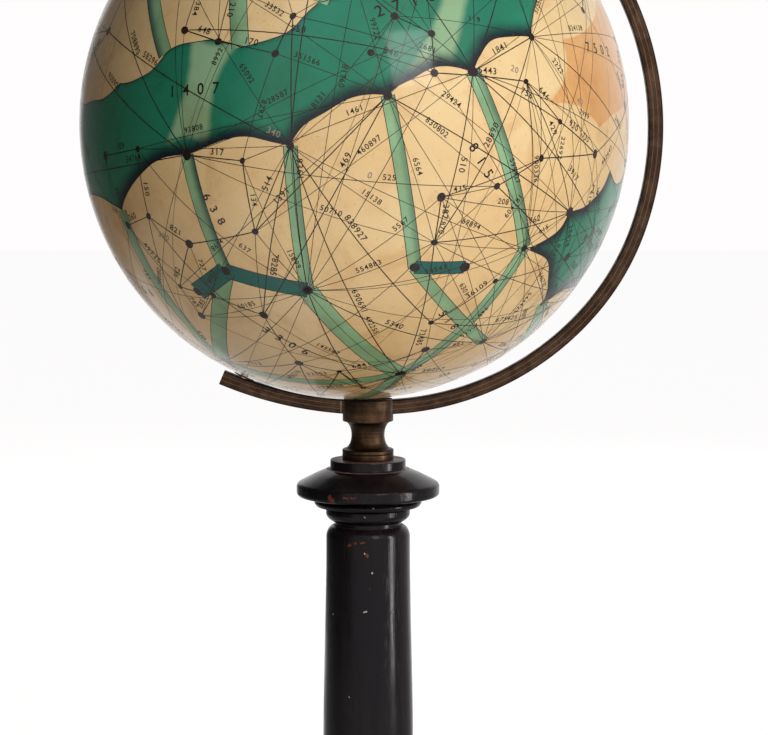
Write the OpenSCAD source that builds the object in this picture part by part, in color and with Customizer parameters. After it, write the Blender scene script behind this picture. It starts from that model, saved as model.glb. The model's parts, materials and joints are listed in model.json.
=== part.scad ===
// Table globe on a turned column, hung in a bent meridian arm.
// The stand's axis is +Z, the origin is the middle of its underside, and the arm lies in the XZ plane.
// The globe's own pieces are drawn about an upright axis with the centre at zero, then leant and lifted.

/* [Globe] */
// Diameter of the finished globe
globe_d = 203; // [160:1:260]
// Lean of the globe's axis from upright, in degrees
axis_tilt = 24; // [20:0.5:28]
// How far the globe's centre stands to the left of the column
globe_shift = 4.9; // [0:0.1:8]
// Number of paper gores round the globe
gore_count = 12; // [8:2:24]
// Angle from the pole to the edge of each polar paper cap, in degrees
calotte_angle = 10; // [7:1:20]
// Thickness of the paper
paper_t = 0.3; // [0.2:0.05:0.5]
// Thickness of the plaster ground under the paper
plaster_t = 2; // [1:0.25:4]
// Thickness of the pasteboard half shells
shell_t = 3; // [2:0.25:5]

/* [Inside the globe] */
// Width of the hoop that backs the joint of the half shells
hoop_w = 14; // [8:1:24]
// Thickness of that hoop
hoop_t = 2.5; // [1.5:0.5:5]
// Diameter of the wooden post between the poles
post_d = 16; // [14:0.5:22]
// Diameter of the post's end tenons
post_tenon_d = 12; // [9:0.5:13]
// Length of the post's end tenons
post_tenon_l = 5; // [3:0.5:7]
// Diameter of the wooden block behind each pole
block_d = 44; // [38:1:60]
// Depth of each block along the axis
block_l = 16; // [15:0.5:24]
// Number of tacks that hold each half shell to its block
tack_count = 6; // [3:1:10]
// Diameter of a tack's shank
tack_d = 1.6; // [1.2:0.1:2]
// Length of a tack
tack_l = 11; // [7:0.5:12]
// Diameter of a tack's head
tack_head_d = 4; // [3:0.2:5]
// Thickness of a tack's head
tack_head_t = 0.6; // [0.4:0.1:1]
// Distance of the tacks from the axis
tack_ring_r = 15.5; // [12:0.5:17]

/* [Pivots] */
// Diameter of both pivots
pivot_d = 3; // [2.4:0.1:3.6]
// Length of each pivot inside its bush
pivot_in = 12; // [6:0.5:13]
// Outer diameter of the pole bushes
bush_d = 8; // [6:0.5:9]
// Length of the pole bushes
bush_l = 14; // [13.5:0.5:15]
// Diameter of a bush's flange
flange_d = 12; // [10:0.5:14]
// Thickness of a bush's flange
flange_t = 0.9; // [0.6:0.1:1.5]
// Diameter of the thrust washers
washer_d = 8; // [6:0.5:9]
// Thickness of the lower thrust washer
lower_washer_t = 0.7; // [0.5:0.05:0.8]
// Thickness of the upper thrust washer
upper_washer_t = 0.9; // [0.5:0.1:1.5]
// Diameter of the distance collar at the upper pole
collar_d = 6.4; // [5:0.2:8]
// Diameter of the upper pivot's head
head_d = 6.4; // [5:0.2:9]
// Height of the upper pivot's head
head_h = 3; // [2:0.2:5]
// Width of the slot across that head
head_slot_w = 0.8; // [0.6:0.1:1.2]
// Depth of the slot across that head
head_slot_depth = 1; // [0.5:0.1:1.5]

/* [Arm] */
// Width of the arm's flat face
arm_w = 5.4; // [4.5:0.1:7]
// Thickness of the arm from front to back
arm_t = 5; // [4.4:0.1:6]
// Gap between the arm and the globe where they come nearest
arm_gap = 0.3; // [0.25:0.05:2]
// Angle of that nearest point, to the left of straight down, in degrees
nip_angle = 9; // [5:0.5:12]
// How much wider than the globe the arm bends at its tip
tip_bend = 39.1; // [30:0.5:50]
// How much wider than the globe the arm bends at the bottom
low_bend = 0.1; // [-4:0.1:4]
// How much wider than the globe the arm bends at the lower right
mid_bend = -10.9; // [-14:0.1:-6]
// How much wider than the globe the arm bends on the way to the top
top_bend = 8.1; // [4:0.1:12]
// Angle right of straight down where the tip's bend ends, in degrees
tip_turn = 4.2; // [2:0.2:8]
// Angle right of straight down where the bottom's bend ends, in degrees
low_turn = 50.8; // [40:0.2:60]
// Angle right of straight down where the tightest bend ends, in degrees
mid_turn = 71.4; // [64:0.2:80]
// How far the arm runs on past the lower pole, in degrees
tip_over = 3.9; // [3:0.1:8]
// How far the arm runs on past the upper pole, in degrees
top_over = 4.2; // [3:0.1:8]
// Size of the eased edges of the arm
arm_edge = 0.4; // [0.2:0.05:0.7]
// Distance between the two scribed lines on each face
line_pitch = 1.7; // [1:0.1:2.4]
// Width of a scribed line
line_w = 0.36; // [0.2:0.02:0.5]
// Depth of a scribed line
line_depth = 0.18; // [0.1:0.02:0.3]
// Distance of the index mark from the socket's axis
mark_x = 10.1; // [9.8:0.1:14]

/* [Arm screw] */
// Diameter of the screw that holds the arm in its socket
arm_screw_d = 2.5; // [2:0.1:2.8]
// Diameter of that screw's countersunk head
arm_screw_head_d = 4.2; // [3.6:0.1:4.4]
// Length of that screw below the arm
arm_screw_in = 6; // [4:0.5:7]
// Width of the slot across that head
arm_screw_slot_w = 0.6; // [0.4:0.1:0.9]
// Depth of the slot across that head
arm_screw_slot_depth = 0.5; // [0.3:0.05:0.6]

/* [Socket] */
// Diameter of the slotted drum
drum_d = 19; // [16:0.2:24]
// Metal left under the slot's floor
drum_floor = 2.3; // [1.5:0.1:4]
// Diameter of the socket's waist
waist_d = 12.4; // [10:0.1:14]
// Height of the hollow between drum and base bead
waist_h = 10.6; // [8:0.2:16]
// Step from the drum in to the hollow
waist_step = 0.2; // [0.1:0.05:0.5]
// Diameter of the bead at the socket's base
socket_base_d = 19.3; // [16:0.1:24]
// Height of the bead at the socket's base
socket_base_h = 4; // [3:0.2:6]
// Gap between the drum's top and the globe
socket_gap = 0.35; // [0.3:0.05:2]
// Diameter of the stud between socket and cap
stud_d = 5; // [4:0.2:6]
// Length of the stud inside the socket
stud_up = 7.5; // [5:0.5:8.5]
// Length of the stud inside the cap
stud_down = 26; // [15:1:34]

/* [Cap] */
// Diameter of the disc under the socket
disc_d = 28.4; // [22:0.2:36]
// Height of that disc
disc_h = 3; // [2:0.1:5]
// Diameter of the cap's wide flange
cap_d = 53.8; // [44:0.2:64]
// Fall of the sloping top of the flange
slope_h = 5.4; // [4:0.1:8]
// Height of the flange's upright rim
rim_h = 4.6; // [3:0.1:7]
// Fall of the flange's underside
under_h = 0.9; // [0.5:0.1:3]
// Diameter of the upper ring under the flange
ring_d = 40.5; // [34:0.1:42]
// Height of the upper ring
ring_h = 2.3; // [1.6:0.1:4]
// Diameter of the lower ring under the flange
low_ring_d = 31.7; // [28:0.1:33]
// Height of the lower ring
low_ring_h = 5.5; // [4:0.1:7]
// Diameter of the neck above the shaft
neck_d = 25; // [22:0.1:26]
// Diameter of the cap's tenon
cap_tenon_d = 14; // [11:0.5:18]
// Length of the cap's tenon
cap_tenon_l = 20; // [12:0.5:30]

/* [Shaft] */
// Length of the shaft without its tenon
shaft_l = 148.5; // [120:0.5:220]
// Diameter of the shaft just under its shoulder
shaft_top_d = 31.6; // [28:0.1:34]
// Diameter of the shaft lower down
shaft_low_d = 34.2; // [30:0.1:38]
// Height of the rounded shoulder
shoulder_h = 4.6; // [3:0.1:7]
// Depth below the top at which the shaft is full
swell_l = 88; // [60:1:100]
// Diameter of the bead round the shaft's foot
foot_bead_d = 41; // [38:0.5:46]
// Height of the bead round the shaft's foot
foot_bead_h = 6; // [4:0.2:9]
// Diameter of the shaft's tenon
shaft_tenon_d = 18; // [14:0.5:22]
// Length of the shaft's tenon
shaft_tenon_l = 27; // [18:0.5:30]

/* [Foot] */
// Diameter of the foot
foot_d = 156; // [130:1:200]
// Height of the plinth
plinth_h = 16; // [12:0.5:24]
// Width of the step between the plinth's edge and the dome
plinth_step = 9; // [6:0.5:16]
// Height of the dome
dome_h = 35.5; // [30:0.5:50]
// Diameter of the dome's top
dome_top_d = 50; // [46:0.5:60]
// Height of the collar at the dome's top
dome_collar_h = 5; // [3:0.2:8]
// Height of the fillet at the dome's foot
dome_fillet_h = 2.5; // [1.5:0.1:5]
// Thickness of the felt
felt_t = 1.5; // [1:0.1:3]
// Margin between the felt and the plinth's edge
felt_margin = 4; // [2:0.5:8]
// Diameter of the screw that draws the column together
foot_screw_d = 5; // [4:0.2:6]
// Length of that screw under its head
foot_screw_l = 48; // [36:1:52]
// Diameter of that screw's head
foot_screw_head_d = 10; // [8:0.5:12]
// Height of that screw's head
foot_screw_head_h = 3; // [2:0.5:4]
// Width of the slot across that head
foot_screw_slot_w = 1.2; // [0.8:0.1:2]
// Depth of the slot across that head
foot_screw_slot_depth = 1; // [0.5:0.1:1.4]
// Diameter of the washer under that head
foot_washer_d = 16; // [13:0.5:20]
// Thickness of that washer
foot_washer_t = 1.2; // [0.8:0.1:2]
// Gap between that screw's head and the felt
foot_recess_gap = 0.3; // [0.2:0.1:1]

/* [Fits] */
// Gap round glued tenons and fixed pins
glue_gap = 0.1; // [0.05:0.01:0.2]
// Gap between a pivot and its bush
running_gap = 0.05; // [0.02:0.01:0.09]
// Gap between faces that turn against each other
thrust_gap = 0.2; // [0.1:0.05:0.3]
// Gap between neighbouring pieces of paper
paper_gap = 0.1; // [0.05:0.01:0.2]
// Gap between the layers of the globe's skin
paste_gap = 0.12; // [0.1:0.01:0.2]

/* [Hidden] */
$fn = 96;
far = 400;

// Finishes
ebonised = [0.14, 0.12, 0.13];
bronze = [0.30, 0.23, 0.17];
brass = [0.62, 0.50, 0.28];
steel = [0.55, 0.55, 0.56];
paper = [0.80, 0.68, 0.48];
plaster = [0.88, 0.86, 0.80];
board = [0.60, 0.52, 0.42];
beech = [0.72, 0.56, 0.38];
leather = [0.35, 0.22, 0.14];
baize = [0.10, 0.25, 0.16];

// Radii through the globe's skin, from the outside in
globe_r = globe_d / 2;
paper_in_r = globe_r - paper_t;
plaster_r = paper_in_r - paste_gap;
plaster_in_r = plaster_r - plaster_t;
shell_r = plaster_in_r - paste_gap;
shell_in_r = shell_r - shell_t;
flange_r = flange_d / 2;
flange_top = sqrt(pow(globe_r, 2) - pow(flange_r, 2));
bush_in = flange_top - bush_l;
block_in = shell_in_r - block_l;
calotte_r = globe_r * sin(calotte_angle);

// Bends of the arm: outer radius, then centre as x and z from the globe's centre
tip_r = globe_r + tip_bend + arm_w;
low_r = globe_r + low_bend + arm_w;
mid_r = globe_r + mid_bend + arm_w;
top_r = globe_r + top_bend + arm_w;
function down(a) = [sin(a), -cos(a)];
tip_c = -(tip_bend - arm_gap) * down(-nip_angle);
low_c = tip_c + (tip_r - low_r) * down(tip_turn);
mid_c = low_c + (low_r - mid_r) * down(low_turn);
top_c = mid_c + (mid_r - top_r) * down(mid_turn);
tip_end = -(axis_tilt + tip_over);
top_end = 180 - axis_tilt + top_over;

// Distance from the globe's centre to a circle at c, along the unit vector u
function reach(c, r, u) = u * c + sqrt(pow(u * c, 2) - c * c + r * r);
upper_u = down(180 - axis_tilt);
upper_rim = reach(top_c, top_r - arm_w, upper_u);
upper_back = reach(top_c, top_r, upper_u);

// Angle on a bend at which its normal meets the ray u from the globe's centre
function bend_angle(c, r, u) = let (p = reach(c, r, u) * u - c) atan2(p[0], -p[1]);
tip_stop = bend_angle(tip_c, tip_r, down(tip_end));
top_stop = bend_angle(top_c, top_r, down(top_end));
// Every second bend runs on into its neighbours by this angle, a hair finer, so that all are one bar
bend_lap = 0.5;
bend_ease = 0.02;

// Heights of the stand, from the table up
plinth_z = felt_t;
dome_z = plinth_z + plinth_h;
shaft_z = dome_z + dome_h;
quirk = 0.6;
cone_top = disc_h + quirk;
rim_top = cone_top + slope_h;
rim_low = rim_top + rim_h;
ring_top = rim_low + under_h + quirk;
low_ring_top = ring_top + ring_h + quirk;
neck_h = 1.2;
cap_h = low_ring_top + low_ring_h + neck_h;
cap_z = shaft_z + shaft_l + cap_h;
slot_floor_h = socket_base_h + waist_h + drum_floor;
slot_floor_z = cap_z + slot_floor_h;
arm_drop = sqrt(pow(tip_r, 2) - pow(globe_shift - tip_c[0], 2)) - tip_c[1];
globe_z = slot_floor_z + glue_gap + arm_drop;
drum_top_h = globe_z - globe_r - socket_gap - cap_z;
slot_w = arm_t + 2 * glue_gap;

// Points on an arc about c from angle a to angle b
function arc(c, r, a, b, n) =
    [for (i = [0 : n]) let (t = a + (b - a) * i / n) [c[0] + r * cos(t), c[1] + r * sin(t)]];
// Points on an oval about c from angle a to angle b
function oval(c, rx, ry, a, b, n) =
    [for (i = [0 : n]) let (t = a + (b - a) * i / n) [c[0] + rx * cos(t), c[1] + ry * sin(t)]];
function ease(t) = t * t * (3 - 2 * t);

// Solid turned from a profile of radius and height points
module turned(points) {
    rotate_extrude() polygon(points);
}

// Puts a globe piece, drawn upright about zero, in its place on the leaning axis
module on_axis() {
    translate([-globe_shift, 0, globe_z]) rotate([0, axis_tilt, 0]) children();
}

// Puts a shape drawn in the arm's plane, x across and y up, in its place round the globe
module in_arm_plane() {
    translate([-globe_shift, 0, globe_z]) rotate([90, 0, 0]) children();
}

// One sphere wall between two radii, with the bush holes left open at both poles
module sphere_wall(outer_r, inner_r, hole_r) {
    difference() {
        sphere(r = outer_r);
        sphere(r = inner_r);
        cylinder(r = hole_r, h = 2 * far, center = true);
    }
}

// The tacks of one pole, a little larger all over where ease_by is set
module tack_ring(ease_by) {
    lean = asin(tack_ring_r / shell_r);
    for (i = [0 : tack_count - 1]) rotate([0, 0, (i + 0.5) * 360 / tack_count]) rotate([0, lean, 0]) {
        translate([0, 0, shell_r - tack_head_t - glue_gap - tack_l])
            cylinder(d = tack_d + 2 * ease_by, h = tack_l + tack_head_t / 2);
        translate([0, 0, shell_r - tack_head_t - glue_gap - ease_by])
            cylinder(d = tack_head_d + 2 * ease_by, h = tack_head_t + (ease_by > 0 ? glue_gap + 2 : 0));
    }
}

module foot_felt() {
    color(baize) cylinder(r = foot_d / 2 - felt_margin, h = felt_t);
}

module foot_plinth() {
    r = foot_d / 2;
    toe = 1.5;
    edge = 3;
    fillet_h = 1;
    seat_h = 2;
    edge_top = plinth_h - seat_h - fillet_h;
    fillet_r = r - edge - 1.5;
    seat_r = r - plinth_step + 1;
    recess_h = foot_screw_head_h + foot_washer_t + foot_recess_gap;
    color(ebonised) translate([0, 0, plinth_z]) difference() {
        turned(concat(
            [[0, 0]],
            arc([r - toe, toe], toe, -90, 0, 4),
            arc([r - edge, edge_top - edge], edge, 0, 90, 8),
            [[fillet_r, edge_top], [fillet_r, edge_top + fillet_h], [seat_r, edge_top + fillet_h],
             [seat_r, plinth_h], [0, plinth_h]]
        ));
        translate([0, 0, -1]) cylinder(d = foot_washer_d + 2 * glue_gap, h = recess_h + 1);
        cylinder(d = foot_screw_d + 2 * glue_gap, h = plinth_h + 1);
    }
}

module foot_dome() {
    step = 1.5;
    foot_r = foot_d / 2 - plinth_step - step;
    top_rr = dome_top_d / 2;
    bead_r = dome_collar_h / 2;
    fillet_h = 0.5;
    neck_h = 1;
    rise = dome_h - dome_collar_h - dome_fillet_h - neck_h - 2 * fillet_h;
    span = foot_r - top_rr - 2;
    flow = 0.38;
    sweep = 1.9;
    bead_z = dome_h - fillet_h - bead_r;
    color(ebonised) translate([0, 0, dome_z]) difference() {
        turned(concat(
            [[0, 0], [foot_r, 0], [foot_r, dome_fillet_h], [foot_r - step, dome_fillet_h]],
            [for (i = [1 : 18]) let (t = i / 18, run = (1 - flow) * t + flow * ease(t))
                [foot_r - step - span * run, dome_fillet_h + rise * pow(t, sweep)]],
            [[top_rr - fillet_h, dome_fillet_h + rise], [top_rr - fillet_h, bead_z - bead_r - fillet_h]],
            arc([top_rr - bead_r, bead_z], bead_r, -90, 90, 10),
            [[top_rr - bead_r - neck_h, dome_h], [0, dome_h]]
        ));
        translate([0, 0, dome_h - shaft_tenon_l - 0.5])
            cylinder(d = shaft_tenon_d + 2 * glue_gap, h = shaft_tenon_l + 1);
        translate([0, 0, -1]) cylinder(d = foot_screw_d + 2 * glue_gap, h = dome_h);
    }
}

module foot_screw() {
    head_z = plinth_z + foot_recess_gap;
    color(steel) difference() {
        union() {
            translate([0, 0, head_z]) cylinder(d = foot_screw_head_d, h = foot_screw_head_h);
            translate([0, 0, head_z]) cylinder(d = foot_screw_d, h = foot_screw_head_h + foot_screw_l);
        }
        translate([0, 0, head_z])
            cube([foot_screw_head_d + 1, foot_screw_slot_w, 2 * foot_screw_slot_depth], center = true);
    }
}

module foot_screw_washer() {
    color(steel) translate([0, 0, plinth_z + foot_recess_gap + foot_screw_head_h]) difference() {
        cylinder(d = foot_washer_d, h = foot_washer_t);
        translate([0, 0, -1]) cylinder(d = foot_screw_d + 2 * glue_gap, h = foot_washer_t + 2);
    }
}

module column_shaft() {
    neck_r = neck_d / 2;
    top_rr = shaft_top_d / 2;
    low_rr = shaft_low_d / 2;
    bead_r = foot_bead_h / 2;
    sweep_r = 1.6;
    sweep_z = foot_bead_h + sweep_r + 3;
    screw_top = plinth_z + foot_recess_gap + foot_screw_head_h + foot_screw_l;
    screw_depth = screw_top - shaft_z + shaft_tenon_l + 1;
    shoulder_power = 1.1;
    color(ebonised) translate([0, 0, shaft_z]) difference() {
        turned(concat(
            [[0, -shaft_tenon_l], [shaft_tenon_d / 2, -shaft_tenon_l], [shaft_tenon_d / 2, 0],
             [foot_bead_d / 2 - bead_r, 0]],
            arc([foot_bead_d / 2 - bead_r, bead_r], bead_r, -90, 90, 12),
            [[low_rr + sweep_r, foot_bead_h]],
            arc([low_rr + sweep_r, sweep_z], sweep_r, -90, -180, 5),
            [for (i = [0 : 14]) let (t = i / 14)
                [low_rr - (low_rr - top_rr) * ease(t), shaft_l - swell_l + (swell_l - shoulder_h) * t]],
            [for (i = [1 : 7]) let (t = 90 * i / 7, out = pow(cos(t), shoulder_power))
                [neck_r + (top_rr - neck_r) * out, shaft_l - shoulder_h * (1 - sin(t))]],
            [[0, shaft_l]]
        ));
        translate([0, 0, shaft_l - cap_tenon_l - 0.5])
            cylinder(d = cap_tenon_d + 2 * glue_gap, h = cap_tenon_l + 1);
        translate([0, 0, -shaft_tenon_l - 1])
            cylinder(d = foot_screw_d + 2 * glue_gap, h = screw_depth + 1);
    }
}

module column_cap() {
    disc_r = disc_d / 2;
    rim_r = cap_d / 2;
    ring_r = ring_d / 2;
    low_ring_r = low_ring_d / 2;
    neck_r = neck_d / 2;
    soft = 0.3;
    cone_in = 1.4;
    groove = 1.3;
    bead = 1;
    low_bead = 0.8;
    rim_round = 1.3;
    round_part = 0.6;
    color(ebonised) translate([0, 0, cap_z]) difference() {
        turned(concat(
            [[0, 0], [disc_r - soft, 0], [disc_r, -soft], [disc_r, -disc_h],
             [disc_r + soft, -cone_top + soft], [disc_r + cone_in, -cone_top],
             [rim_r - soft, -rim_top + soft], [rim_r, -rim_top]],
            arc([rim_r - rim_round, -rim_low + rim_round], rim_round, 0, -90, 5),
            [[ring_r - soft, -ring_top + quirk], [ring_r - soft - groove, -ring_top + quirk / 2]],
            arc([ring_r - bead, -ring_top - bead], bead, 60, -20, 5),
            [[ring_r - soft, -ring_top - ring_h], [low_ring_r - bead, -low_ring_top + quirk / 2]],
            arc([low_ring_r - low_bead, -low_ring_top - low_bead], low_bead, 60, 0, 3),
            [for (i = [0 : 6]) let (t = 15 * i)
                [neck_r + (low_ring_r - neck_r) * pow(cos(t), 1.5),
                 -low_ring_top - low_ring_h * (1 - round_part * (1 - sin(t)))]],
            [[neck_r, -cap_h], [cap_tenon_d / 2, -cap_h],
             [cap_tenon_d / 2, -cap_h - cap_tenon_l], [0, -cap_h - cap_tenon_l]]
        ));
        translate([0, 0, -stud_down - 0.5]) cylinder(d = stud_d + 2 * glue_gap, h = stud_down + 1);
    }
}

module socket_stud() {
    color(steel) translate([0, 0, cap_z - stud_down]) cylinder(d = stud_d, h = stud_down + stud_up);
}

module arm_socket() {
    drum_r = drum_d / 2;
    base_r = socket_base_d / 2;
    waist_r = waist_d / 2;
    cove_in = drum_r - waist_step;
    soft = 0.3;
    score = 0.15;
    score_h = socket_base_h - 1.45;
    color(bronze) translate([0, 0, cap_z]) difference() {
        turned(concat(
            [[0, 0], [base_r, 0], [base_r, score_h - score], [base_r - score, score_h],
             [base_r, score_h + score], [base_r, socket_base_h - 2 * soft], [cove_in, socket_base_h]],
            oval([cove_in, socket_base_h + waist_h / 2], cove_in - waist_r, waist_h / 2, 270, 90, 18),
            [[drum_r, slot_floor_h - drum_floor + score], [drum_r, drum_top_h - soft],
             [drum_r - soft, drum_top_h], [0, drum_top_h]]
        ));
        translate([-globe_shift, 0, globe_z - cap_z]) rotate([90, 0, 0]) translate([tip_c[0], tip_c[1], 0])
            cylinder(r = tip_r + glue_gap, h = slot_w, center = true, $fn = 360);
        translate([0, 0, -1]) cylinder(d = stud_d + 2 * glue_gap, h = stud_up + 1.5);
        translate([0, 0, slot_floor_h - arm_screw_in - 0.5])
            cylinder(d = arm_screw_d + 2 * glue_gap, h = arm_screw_in + 2);
    }
}

// Outline across the arm: x from the inner rim to the outer rim, y through the thickness
function arm_outline(r, inset) = let (
    h = arm_t / 2 - inset, e = arm_edge, m = r - arm_w / 2,
    side = concat(
        [[r - arm_w + inset, -h + e], [r - arm_w + e, -h]],
        [for (s = [-1, 1]) for (p = [[-1, 0], [-0.5, line_depth], [0.5, line_depth], [1, 0]])
            [m + s * line_pitch / 2 + p[0] * line_w / 2, -h + p[1]]],
        [[r - e, -h], [r - inset, -h + e]]
    )
) concat(side, [for (i = [len(side) - 1 : -1 : 0]) [side[i][0], -side[i][1]]]);

// One bend of the arm, between two angles right of straight down
module bend(c, r, a, b, inset) {
    translate([c[0], c[1], 0]) rotate([0, 0, a - 90]) rotate_extrude(angle = b - a, $fn = 360)
        polygon(arm_outline(r, inset));
}

module meridian_arm() {
    countersink_d = arm_screw_head_d + 2;
    countersink_z = slot_floor_z + arm_w - (arm_screw_head_d - arm_screw_d) / 2 - 2 * glue_gap;
    color(bronze) difference() {
        in_arm_plane() union() {
            bend(tip_c, tip_r, tip_stop, tip_turn, 0);
            bend(low_c, low_r, tip_turn - bend_lap, low_turn + bend_lap, bend_ease);
            bend(mid_c, mid_r, low_turn, mid_turn, 0);
            bend(top_c, top_r, mid_turn - bend_lap, top_stop, bend_ease);
        }
        on_axis() cylinder(d = pivot_d + 2 * glue_gap, h = far, center = true);
        translate([0, 0, slot_floor_z - 1]) cylinder(d = arm_screw_d + 2 * glue_gap, h = arm_w + 4);
        translate([0, 0, countersink_z])
            cylinder(d1 = arm_screw_d, d2 = countersink_d, h = (countersink_d - arm_screw_d) / 2);
        translate([-mark_x, -arm_t / 2, slot_floor_z + arm_w / 2])
            cube([line_w, 2 * line_depth, arm_w - 2 * arm_edge], center = true);
    }
}

module arm_screw() {
    head_h = (arm_screw_head_d - arm_screw_d) / 2;
    seat = slot_floor_z + arm_w - head_h;
    color(steel) difference() {
        union() {
            translate([0, 0, slot_floor_z - arm_screw_in])
                cylinder(d = arm_screw_d, h = arm_screw_in + arm_w - head_h / 2 - glue_gap);
            translate([0, 0, seat - glue_gap]) cylinder(d1 = arm_screw_d, d2 = arm_screw_head_d, h = head_h);
        }
        translate([0, 0, seat + head_h])
            cube([arm_screw_head_d + 1, arm_screw_slot_w, 2 * arm_screw_slot_depth], center = true);
    }
}

module lower_pivot_pin() {
    color(steel) intersection() {
        on_axis() translate([0, 0, -far]) cylinder(d = pivot_d, h = far - flange_top + pivot_in);
        in_arm_plane() translate([tip_c[0], tip_c[1], 0])
            cylinder(r = tip_r, h = far, center = true, $fn = 360);
    }
}

module lower_thrust_washer() {
    color(leather) on_axis() translate([0, 0, -flange_top - thrust_gap - lower_washer_t]) difference() {
        cylinder(d = washer_d, h = lower_washer_t);
        translate([0, 0, -1]) cylinder(d = pivot_d + 2 * glue_gap, h = lower_washer_t + 2);
    }
}

module upper_pivot_screw() {
    tip_z = flange_top - pivot_in;
    color(brass) on_axis() difference() {
        union() {
            translate([0, 0, tip_z]) cylinder(d = pivot_d, h = upper_back - tip_z + head_h / 2);
            translate([0, 0, upper_back]) cylinder(d = head_d, h = head_h);
        }
        translate([0, 0, upper_back + head_h])
            cube([head_d + 1, head_slot_w, 2 * head_slot_depth], center = true);
    }
}

module upper_thrust_washer() {
    color(leather) on_axis() translate([0, 0, flange_top + thrust_gap]) difference() {
        cylinder(d = washer_d, h = upper_washer_t);
        translate([0, 0, -1]) cylinder(d = pivot_d + 2 * glue_gap, h = upper_washer_t + 2);
    }
}

module distance_collar() {
    foot = flange_top + thrust_gap + upper_washer_t;
    length = upper_rim - foot - glue_gap;
    color(brass) on_axis() translate([0, 0, foot]) difference() {
        cylinder(d = collar_d, h = length);
        translate([0, 0, -1]) cylinder(d = pivot_d + 2 * glue_gap, h = length + 2);
    }
}

// A flanged bush at the top of the upright axis
module pole_bush() {
    color(brass) difference() {
        union() {
            translate([0, 0, bush_in]) cylinder(d = bush_d, h = bush_l);
            translate([0, 0, flange_top - flange_t]) cylinder(d = flange_d, h = flange_t);
        }
        translate([0, 0, bush_in - 1]) cylinder(d = pivot_d + 2 * running_gap, h = bush_l + 2);
    }
}

module upper_pole_bush() {
    on_axis() pole_bush();
}

module lower_pole_bush() {
    on_axis() rotate([180, 0, 0]) pole_bush();
}

module axle_post() {
    color(beech) on_axis() union() {
        cylinder(d = post_d, h = 2 * block_in, center = true);
        cylinder(d = post_tenon_d, h = 2 * (block_in + post_tenon_l), center = true);
    }
}

// A turned block that fills the shell behind the upper pole
module pole_block() {
    color(beech) difference() {
        intersection() {
            sphere(r = shell_in_r - glue_gap);
            translate([0, 0, block_in]) cylinder(d = block_d, h = far);
        }
        translate([0, 0, block_in - 1]) cylinder(d = bush_d + 2 * glue_gap, h = far);
        translate([0, 0, block_in - 1])
            cylinder(d = post_tenon_d + 2 * glue_gap, h = post_tenon_l + 1 + glue_gap);
        tack_ring(glue_gap);
    }
}

module upper_pole_block() {
    on_axis() pole_block();
}

module lower_pole_block() {
    on_axis() rotate([180, 0, 0]) pole_block();
}

module pole_tacks() {
    color(steel) on_axis() union() {
        tack_ring(0);
        rotate([180, 0, 0]) tack_ring(0);
    }
}

module joint_hoop() {
    outer_r = sqrt(pow(shell_in_r - glue_gap, 2) - pow(hoop_w / 2, 2));
    color(board) on_axis() difference() {
        cylinder(r = outer_r, h = hoop_w, center = true);
        cylinder(r = outer_r - hoop_t, h = hoop_w + 2, center = true);
    }
}

// The half shell above the equator of the upright axis
module half_shell() {
    color(board) difference() {
        intersection() {
            sphere_wall(shell_r, shell_in_r, bush_d / 2 + glue_gap);
            translate([-far, -far, 0]) cube([2 * far, 2 * far, far]);
        }
        tack_ring(glue_gap);
    }
}

module upper_hemisphere() {
    on_axis() half_shell();
}

module lower_hemisphere() {
    on_axis() rotate([180, 0, 0]) half_shell();
}

module plaster_coat() {
    color(plaster) on_axis() sphere_wall(plaster_r, plaster_in_r, flange_r + glue_gap);
}

module map_gores() {
    color(paper) on_axis() difference() {
        sphere_wall(globe_r, paper_in_r, calotte_r + paper_gap / 2);
        for (i = [0 : gore_count / 2 - 1]) rotate([0, 0, i * 360 / gore_count])
            cube([paper_gap, 3 * globe_r, 3 * globe_r], center = true);
    }
}

module polar_calottes() {
    color(paper) on_axis() intersection() {
        sphere_wall(globe_r, paper_in_r, flange_r + glue_gap);
        cylinder(r = calotte_r - paper_gap / 2, h = 3 * globe_r, center = true);
    }
}

foot_felt();
foot_plinth();
foot_dome();
foot_screw();
foot_screw_washer();
column_shaft();
column_cap();
socket_stud();
arm_socket();
meridian_arm();
arm_screw();
lower_pivot_pin();
lower_thrust_washer();
upper_pivot_screw();
upper_thrust_washer();
distance_collar();
lower_pole_bush();
upper_pole_bush();
axle_post();
lower_pole_block();
upper_pole_block();
pole_tacks();
joint_hoop();
lower_hemisphere();
upper_hemisphere();
plaster_coat();
map_gores();
polar_calottes();
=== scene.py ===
"""A table globe: a painted ball in a bronze meridian arm, on an ebonised turned column and foot.

All sizes in the settings are millimetres. Every piece is modelled where it stands, in metres.
"""
import json
import math
import random

import bmesh
import bpy
import numpy as np
from mathutils import Matrix, Vector

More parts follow.
